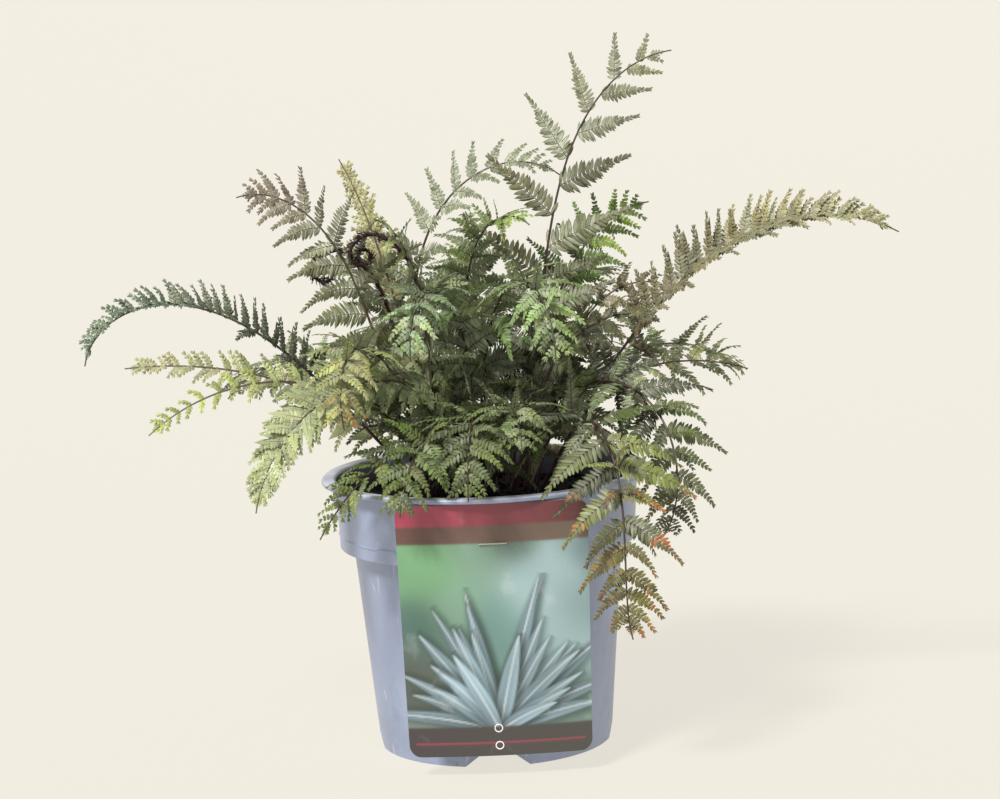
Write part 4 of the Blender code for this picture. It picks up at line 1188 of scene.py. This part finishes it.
def rounded(profile, radius, steps=3):
    """The profile with each corner turned into a short arc."""
    out = [Vector(profile[0])]
    for before, corner, after in zip(profile, profile[1:], profile[2:]):
        before, corner, after = Vector(before), Vector(corner), Vector(after)
        near = min(radius, (before - corner).length * 0.4, (after - corner).length * 0.4)
        start = corner + (before - corner).normalized() * near
        end = corner + (after - corner).normalized() * near
        for k in range(steps + 1):
            t = k / steps
            out.append(start * (1 - t) ** 2 + corner * 2 * t * (1 - t) + end * t * t)
    return out + [Vector(profile[-1])]


def turned(name, profile, turns, radius):
    """A closed body turned from a profile that starts and ends on the axis, its corners rounded."""
    points = rounded(profile, radius)
    angle = np.arange(turns) / turns * 2 * math.pi
    verts = [np.stack([r * np.cos(angle), r * np.sin(angle), np.full(turns, z)], axis=1)
             for r, z in points[1:-1]]
    rows = len(verts)
    verts.append(np.array([[0, 0, points[0][1]], [0, 0, points[-1][1]]]))
    faces = ring_quads(rows, turns).tolist() + fan(rows * turns, 0, turns, True).tolist()
    faces += fan(rows * turns + 1, (rows - 1) * turns, turns).tolist()
    return in_scene(name, new_mesh(name, np.concatenate(verts), faces))


def build_pot(material):
    """The pot, turned in one piece, with its notches cut."""
    profile = [(0.0, BASE_LIFT + WALL)] + inner_wall() + outer_wall()
    profile += [(PAD_RADIUS + PAD_SLOPE, BASE_LIFT), (PAD_RADIUS, 0.0), (0.0, 0.0)]
    pot = turned("pot_body", profile, POT_TURNS, POT_ROUNDING)
    pot.data.materials.append(material)
    smooth(pot.data, POT_SHARP)
    for index in range(NOTCH_COUNT):
        turn = math.radians(NOTCH_FIRST + 360 * index / NOTCH_COUNT)
        cut_notch(pot, Matrix.Rotation(turn, 4, "Z"))
    smooth(pot.data, POT_SHARP)
    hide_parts("pot")
    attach(pot, "root")


def cut_notch(pot, turn):
    """A low arch through the foot ring, which lets water out."""
    near, far = NOTCH_SPAN
    corners = [(-NOTCH_BOTTOM / 2, NOTCH_BELOW), (NOTCH_BOTTOM / 2, NOTCH_BELOW),
               (NOTCH_TOP / 2, NOTCH_HEIGHT), (-NOTCH_TOP / 2, NOTCH_HEIGHT)]
    bm = bmesh.new()
    face = bm.faces.new([bm.verts.new((near, y, z)) for y, z in corners])
    grown = bmesh.ops.extrude_face_region(bm, geom=[face])
    verts = [v for v in grown["geom"] if isinstance(v, bmesh.types.BMVert)]
    bmesh.ops.translate(bm, vec=(far - near, 0, 0), verts=verts)
    bmesh.ops.recalc_face_normals(bm, faces=bm.faces)
    bmesh.ops.transform(bm, matrix=turn, verts=bm.verts)
    mesh = bpy.data.meshes.new("notch")
    bm.to_mesh(mesh)
    bm.free()
    cutter = in_scene("notch", mesh)
    tool = pot.modifiers.new("notch", "BOOLEAN")
    tool.object = cutter
    tool.operation = "DIFFERENCE"
    evaluated = pot.evaluated_get(bpy.context.evaluated_depsgraph_get())
    cut = bpy.data.meshes.new_from_object(evaluated)
    pot.modifiers.clear()
    pot.data = cut
    bpy.data.objects.remove(cutter, do_unlink=True)


def crumb(draw, size):
    """An uneven lump, from a once-cut octahedron."""
    corners = ((1, 0, 0), (-1, 0, 0), (0, 1, 0), (0, -1, 0), (0, 0, 1), (0, 0, -1))
    points = [Vector(corner) for corner in corners]
    faces = [(0, 2, 4), (2, 1, 4), (1, 3, 4), (3, 0, 4), (2, 0, 5), (1, 2, 5), (3, 1, 5), (0, 3, 5)]
    middles = {}

    def middle(a, b):
        key = (min(a, b), max(a, b))
        if key not in middles:
            points.append((points[a] + points[b]).normalized())
            middles[key] = len(points) - 1
        return middles[key]

    finer = []
    for a, b, c in faces:
        ab, bc, ca = middle(a, b), middle(b, c), middle(c, a)
        finer += [(a, ab, ca), (ab, b, bc), (ca, bc, c), (ab, bc, ca)]
    squash = [draw.uniform(0.6, 1.25) for _ in range(3)]
    shape = [[p[i] * squash[i] * size * (1 + draw.uniform(-0.22, 0.22)) for i in range(3)]
             for p in points]
    return np.array(shape), np.array(finer)


def build_soil(material):
    """The peat's surface, crumbly, with loose crumbs, on a plain body below it."""
    draw = random.Random(SEED + 11)
    build = Build()
    rows = []
    for i in range(1, PEAT_ROWS + 1):
        row = []
        for k in range(PEAT_TURNS):
            angle = 2 * math.pi * (k + 0.5 * (i % 2)) / PEAT_TURNS
            r = PEAT_EDGE * i / PEAT_ROWS
            x, y = r * math.cos(angle), r * math.sin(angle)
            height = soil_height(x, y)
            for waves, seed, rise in PEAT_RELIEF:
                height += noise.noise(Vector((x * waves, y * waves, seed))) * rise
            row.append((x, y, height))
        rows.append(row)
    rows.append([(x * 0.99, y * 0.99, z - PEAT_DEPTH) for x, y, z in rows[-1]])
    ends = [(0, 0, soil_height(0, 0)), (0, 0, PEAT_BOTTOM)]
    verts = np.array([v for row in rows for v in row] + ends)
    top = len(rows) * PEAT_TURNS
    quads = ring_quads(len(rows), PEAT_TURNS, True)
    tris = np.concatenate([fan(top, 0, PEAT_TURNS),
                           fan(top + 1, PEAT_ROWS * PEAT_TURNS, PEAT_TURNS, True)])
    build.add(verts, quads, tris, 0, ZEROS)
    for _ in range(CRUMBS):
        angle, r = draw.uniform(0, 2 * math.pi), PEAT_EDGE * 0.97 * math.sqrt(draw.random())
        x, y = r * math.cos(angle), r * math.sin(angle)
        size = CRUMB_LEAST + CRUMB_RANGE * draw.random() ** 2.2
        ball, faces = crumb(draw, size)
        build.add(ball + np.array([x, y, soil_height(x, y) + size * 0.4]), [], faces, 0, ZEROS)
    piece = build.finish("peat_surface", [material])
    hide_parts("soil")
    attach(piece, "root")


# The card's picture, in shares of its width and height: blurred patches (place, radius, colour),
# then a tuft of plain leaves, then bands across its foot and top.
PATCHES = [
    (0.16, 0.76, 0.20, (112, 160, 116)), (0.42, 0.80, 0.18, (126, 158, 140)),
    (0.74, 0.70, 0.22, (158, 184, 188)), (0.90, 0.48, 0.20, (150, 176, 180)),
    (0.10, 0.52, 0.16, (70, 100, 92)), (0.30, 0.60, 0.14, (136, 174, 150)),
    (0.64, 0.86, 0.12, (90, 112, 96)), (0.92, 0.84, 0.12, (124, 146, 150)),
    (0.08, 0.30, 0.16, (84, 92, 84)), (0.86, 0.24, 0.18, (104, 128, 118)),
    (0.50, 0.50, 0.22, (104, 138, 132)), (0.34, 0.24, 0.16, (72, 84, 78)),
]
GROUND = (120, 140, 130)
GROUND_WEIGHT = 0.04
LEAF_CENTRE = (0.50, 0.10)
CARD_LEAVES = 30
LEAF_LENGTHS = (0.66, 0.98)
LEAF_HALVES = (0.030, 0.046)
LEAF_BOWS = (0.1, 0.34)
CARD_SHAPE = 1.31
LEAF_SHADOW = (36, 54, 50)
LEAF_SKIN = (140, 164, 176)
LEAF_RIB = (196, 206, 210)
# Bands: where one ends and how softly, whether it is below, its colours at the left and the right,
# and how late the first gives way to the second.
BANDS = [
    (0.118, 0.012, True, (64, 56, 58), (70, 68, 62), 1.0),
    (0.846, 0.012, False, (98, 66, 62), (108, 94, 80), 1.0),
    (0.916, 0.008, False, (164, 62, 84), (84, 54, 52), 1.2),
]
FOOT_LINE = (150, 60, 76)
CARD_BACK = (224, 222, 216)
CARD_PARTS = 118
CARD_MIDDLE_ROWS = 150
CORNER_ROWS = 8
RINGS_AT = [(-0.0008, 0.0256), (-0.0006, 0.0168)]
RING_RADIUS = 0.0019
RING_LINE = 0.00032
RING_STEPS = 24
RING_SIDES = 6
RING_COLOUR = (232, 230, 228)


def soft_edge(value, edge, width):
    share = np.clip((value - edge) / width + 0.5, 0, 1)
    return share * share * (3 - 2 * share)


def over(picture, mask, colour):
    return picture * (1 - mask[:, None]) + np.asarray(colour) * mask[:, None]


def card_leaves(draw):
    """The picture's tuft of long plain leaves, back to front.

    Each is its heading, length, half width, bend and brightness.
    """
    leaves = []
    for k in range(CARD_LEAVES):
        near = k / (CARD_LEAVES - 1)
        heading = 90 + (1 if k % 2 else -1) * (8 + 66 * draw.random() ** 0.8) * (1.05 - 0.25 * near)
        away = (heading - 90) / 90
        length = draw.uniform(*LEAF_LENGTHS) * (1 - 0.48 * near) * (1 - 0.25 * abs(away))
        leaves.append((heading, length, draw.uniform(*LEAF_HALVES), away * draw.uniform(*LEAF_BOWS),
                       0.55 + 0.55 * near))
    return leaves


def card_print(p, q):
    """Printed colours at shares p across and q up the card."""
    draw = random.Random(SEED + 5)
    total = np.full(len(p), GROUND_WEIGHT)
    picture = np.tile(linear(GROUND) * GROUND_WEIGHT, (len(p), 1))
    for x, y, radius, colour in PATCHES:
        weight = np.exp(-((p - x) ** 2 + ((q - y) * CARD_SHAPE) ** 2) / (2 * (radius * 0.55) ** 2))
        picture += weight[:, None] * linear(colour)
        total += weight
    picture /= total[:, None]
    for heading, length, half, bow, bright in card_leaves(draw):
        turn = math.radians(heading)
        dx, dy = p - LEAF_CENTRE[0], (q - LEAF_CENTRE[1]) * CARD_SHAPE
        along = (dx * math.cos(turn) + dy * math.sin(turn)) / length
        share = np.clip(along, 0, 1)
        across = -dx * math.sin(turn) + dy * math.cos(turn) - bow * length * share ** 2
        shape = half * np.sin(math.pi * share ** 0.75) ** 0.75
        inside = soft_edge(shape - np.abs(across), 0.0, 0.012) * (along > 0.02) * (along < 1)
        shade = soft_edge(shape * 1.3 + 0.010 - np.abs(across + 0.012), 0.0, 0.05)
        picture = over(picture, shade * (along > 0) * (along < 1.03) * 0.55, linear(LEAF_SHADOW))
        veins = 0.5 + 0.5 * np.cos(across / half * 9.0)
        rib = 0.7 * soft_edge(-np.abs(across), -0.0045, 0.007)[:, None]
        lit = 0.50 + 0.60 * share + 0.12 * veins - 0.22 * np.clip(across / half, -1, 1)
        colour = linear(LEAF_SKIN) * (lit * bright)[:, None] * (1 - rib) + linear(LEAF_RIB) * rib
        picture = over(picture, inside, 0) + colour * inside[:, None]
    picture *= (0.92 + 0.16 * np.sin(p * 9 + q * 4) * np.cos(q * 11))[:, None]
    for edge, width, is_below, left, right, fade in BANDS:
        share = p[:, None] ** fade
        band = soft_edge(edge - q, 0, width) if is_below else soft_edge(q, edge, width)
        picture = over(picture, band, linear(left) * (1 - share) + linear(right) * share)
    line = soft_edge(-np.abs(q - 0.052), -0.0035, 0.005) * (p > 0.06) * (p < 0.94)
    return over(picture, line * 0.8, linear(FOOT_LINE))


def card_rows():
    """Heights of the card's rows, closer together round its corners."""
    turns = [math.pi / 2 * i / CORNER_ROWS for i in range(CORNER_ROWS)]
    bends = [CARD_CORNER * (1 - math.cos(turn)) for turn in turns]
    middle = np.linspace(CARD_BOTTOM + CARD_CORNER, CARD_TOP - CARD_CORNER, CARD_MIDDLE_ROWS)
    lower, upper = [CARD_BOTTOM + b for b in bends], [CARD_TOP - b for b in reversed(bends)]
    return lower + middle.tolist() + upper


def build_label(material):
    """The card, bent to an arc, with its printed front."""
    rows = card_rows()
    front = []
    for height in rows:
        share = (height - CARD_BOTTOM) / (CARD_TOP - CARD_BOTTOM)
        width = 1 - CARD_TAPER / CARD_WIDTH * (1 - share)
        gap = min(CARD_CORNER, height - CARD_BOTTOM, CARD_TOP - height)
        inset = CARD_CORNER - math.sqrt(max(0.0, CARD_CORNER ** 2 - (CARD_CORNER - gap) ** 2))
        for i in range(CARD_PARTS + 1):
            across = (2 * i / CARD_PARTS - 1) * (CARD_WIDTH / 2 - inset) * width
            front.append((CARD_CENTRE + across, height, across / CARD_WIDTH + 0.5))
    x, z, p = np.array(front).T
    y = np.array([card_front(v) for v in x])
    q = (z - CARD_BOTTOM) / (CARD_TOP - CARD_BOTTOM)
    sheets = [np.stack([x, y + side * CARD_THICKNESS / 2, z], axis=1) for side in (-1, 1)]
    each, count = CARD_PARTS + 1, len(x)
    i, j = np.meshgrid(np.arange(CARD_PARTS), np.arange(len(rows) - 1))
    a = (j * each + i).ravel()
    faces = np.stack([a, a + 1, a + 1 + each, a + each], axis=1)
    back = faces[:, ::-1] + count
    top, last = (len(rows) - 1) * each, len(rows) * each - 1
    edge = list(range(CARD_PARTS)) + [r * each + CARD_PARTS for r in range(len(rows) - 1)]
    edge += list(range(last, top, -1)) + [r * each for r in range(len(rows) - 1, 0, -1)]
    rim = [(b, a, a + count, b + count) for a, b in zip(edge, edge[1:] + edge[:1])]
    tint = np.concatenate([card_print(p, q), np.tile(linear(CARD_BACK), (count, 1))])
    build = Build()
    build.add(np.concatenate(sheets), np.concatenate([faces, back, rim]), [], 0, tint)
    card = build.finish("picture_card", [material])
    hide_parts("label")
    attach(card, "root")


def build_rings(material):
    """Two small plain rings printed at the foot of the card."""
    build = Build()
    for across, height in RINGS_AT:
        points = []
        for k in range(RING_STEPS + 1):
            turn = 2 * math.pi * k / RING_STEPS
            x = CARD_CENTRE + across + RING_RADIUS * math.cos(turn)
            z = height + RING_RADIUS * math.sin(turn)
            points.append((x, card_front(x) - CARD_THICKNESS / 2, z))
        tints = np.tile(linear(RING_COLOUR), (len(points), 1))
        add_tube(build, points, [RING_LINE] * len(points), RING_SIDES, tints, 0)
    piece = build.finish("label_rings", [material])
    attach(piece, "root")


# ---------------------------------------------------------------- floor, light, camera

LENS = 98.4
SENSOR = 36.0
CAMERA_PLACE = (0.0, -1.4, 0.383)
CAMERA_YAW, CAMERA_PITCH, CAMERA_ROLL = 0.38, 8.31, -2.46

WORLD_COLOUR = (1.0, 0.99, 0.97, 1.0)
WORLD_STRENGTH = 0.31
KEY_STRENGTH = 3.95
KEY_COLOUR = (1.0, 0.985, 0.95)
KEY_SPREAD = 12
KEY_FROM = (-0.42, -0.62, 0.86)

FLOOR_COLOUR = (0.110, 0.104, 0.092)
FLOOR_GLOW = (0.726, 0.696, 0.623)
FLOOR_TURNS = 96
FLOOR_FLAT = 2.2
FLOOR_RADII = [0.5, 1.0, 1.6, FLOOR_FLAT] + [FLOOR_FLAT + 0.4 * i for i in range(1, 26)]
FLOOR_RISE = 0.06


def build_floor():
    """A wide flat floor that rises gently, far from the object, to close the view."""
    verts = [(0.0, 0.0, 0.0)]
    for r in FLOOR_RADII:
        z = FLOOR_RISE * max(0.0, r - FLOOR_FLAT) ** 2
        for k in range(FLOOR_TURNS):
            turn = 2 * math.pi * k / FLOOR_TURNS
            verts.append((r * math.cos(turn), r * math.sin(turn), z))
    faces = fan(0, 1, FLOOR_TURNS).tolist()
    faces += (ring_quads(len(FLOOR_RADII), FLOOR_TURNS, True) + 1).tolist()
    mesh = new_mesh("studio_floor", verts, faces)
    mesh.shade_smooth()
    mesh.materials.append(floor_material())
    in_scene("studio_floor", mesh)


def light_scene():
    """An even pale surrounding and one soft key light from the upper left."""
    world = bpy.data.worlds.new("studio")
    bpy.context.scene.world = world
    world.use_nodes = True
    shade = world.node_tree.nodes["Background"]
    shade.inputs["Color"].default_value = WORLD_COLOUR
    shade.inputs["Strength"].default_value = WORLD_STRENGTH
    lamp = bpy.data.lights.new("key", "SUN")
    lamp.energy = KEY_STRENGTH
    lamp.angle = math.radians(KEY_SPREAD)
    lamp.color = KEY_COLOUR
    in_scene("key", lamp).rotation_euler = Vector(KEY_FROM).to_track_quat("Z", "Y").to_euler()


def place_camera():
    """The camera worked out from the ellipses of the pot's rim and foot in the photo."""
    yaw, pitch, roll = [math.radians(v) for v in (CAMERA_YAW, CAMERA_PITCH, CAMERA_ROLL)]
    level = math.cos(pitch)
    ahead = Vector((math.sin(yaw) * level, math.cos(yaw) * level, -math.sin(pitch)))
    right = Vector((math.cos(yaw), -math.sin(yaw), 0))
    up = right.cross(ahead)
    across = right * math.cos(roll) + up * math.sin(roll)
    above = -right * math.sin(roll) + up * math.cos(roll)
    data = bpy.data.cameras.new("camera")
    data.lens = LENS
    data.sensor_width = SENSOR
    data.sensor_fit = "HORIZONTAL"
    camera = in_scene("camera", data)
    turn = Matrix((across, above, -ahead)).transposed().to_4x4()
    camera.matrix_world = Matrix.Translation(CAMERA_PLACE) @ turn
    bpy.context.scene.camera = camera


def main():
    place_camera()
    light_scene()
    build_floor()
    build_pot(pot_material())
    build_soil(soil_material())
    card = print_material()
    build_label(card)
    build_rings(card)
    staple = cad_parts["label_staple"]
    staple.data.materials.clear()
    staple.data.materials.append(wire_material())
    skins = [leaf_material("fern_leaf", False), stem_material(),
             leaf_material("fern_leaf_under", True)]
    fronds = NAMED_FRONDS + ring_fronds()
    for frond, foot in zip(fronds, spread_roots(fronds)):
        build_frond(frond, foot, skins)


bpy.context.scene.view_settings.view_transform = "Standard"
main()
bpy.context.view_layer.update()
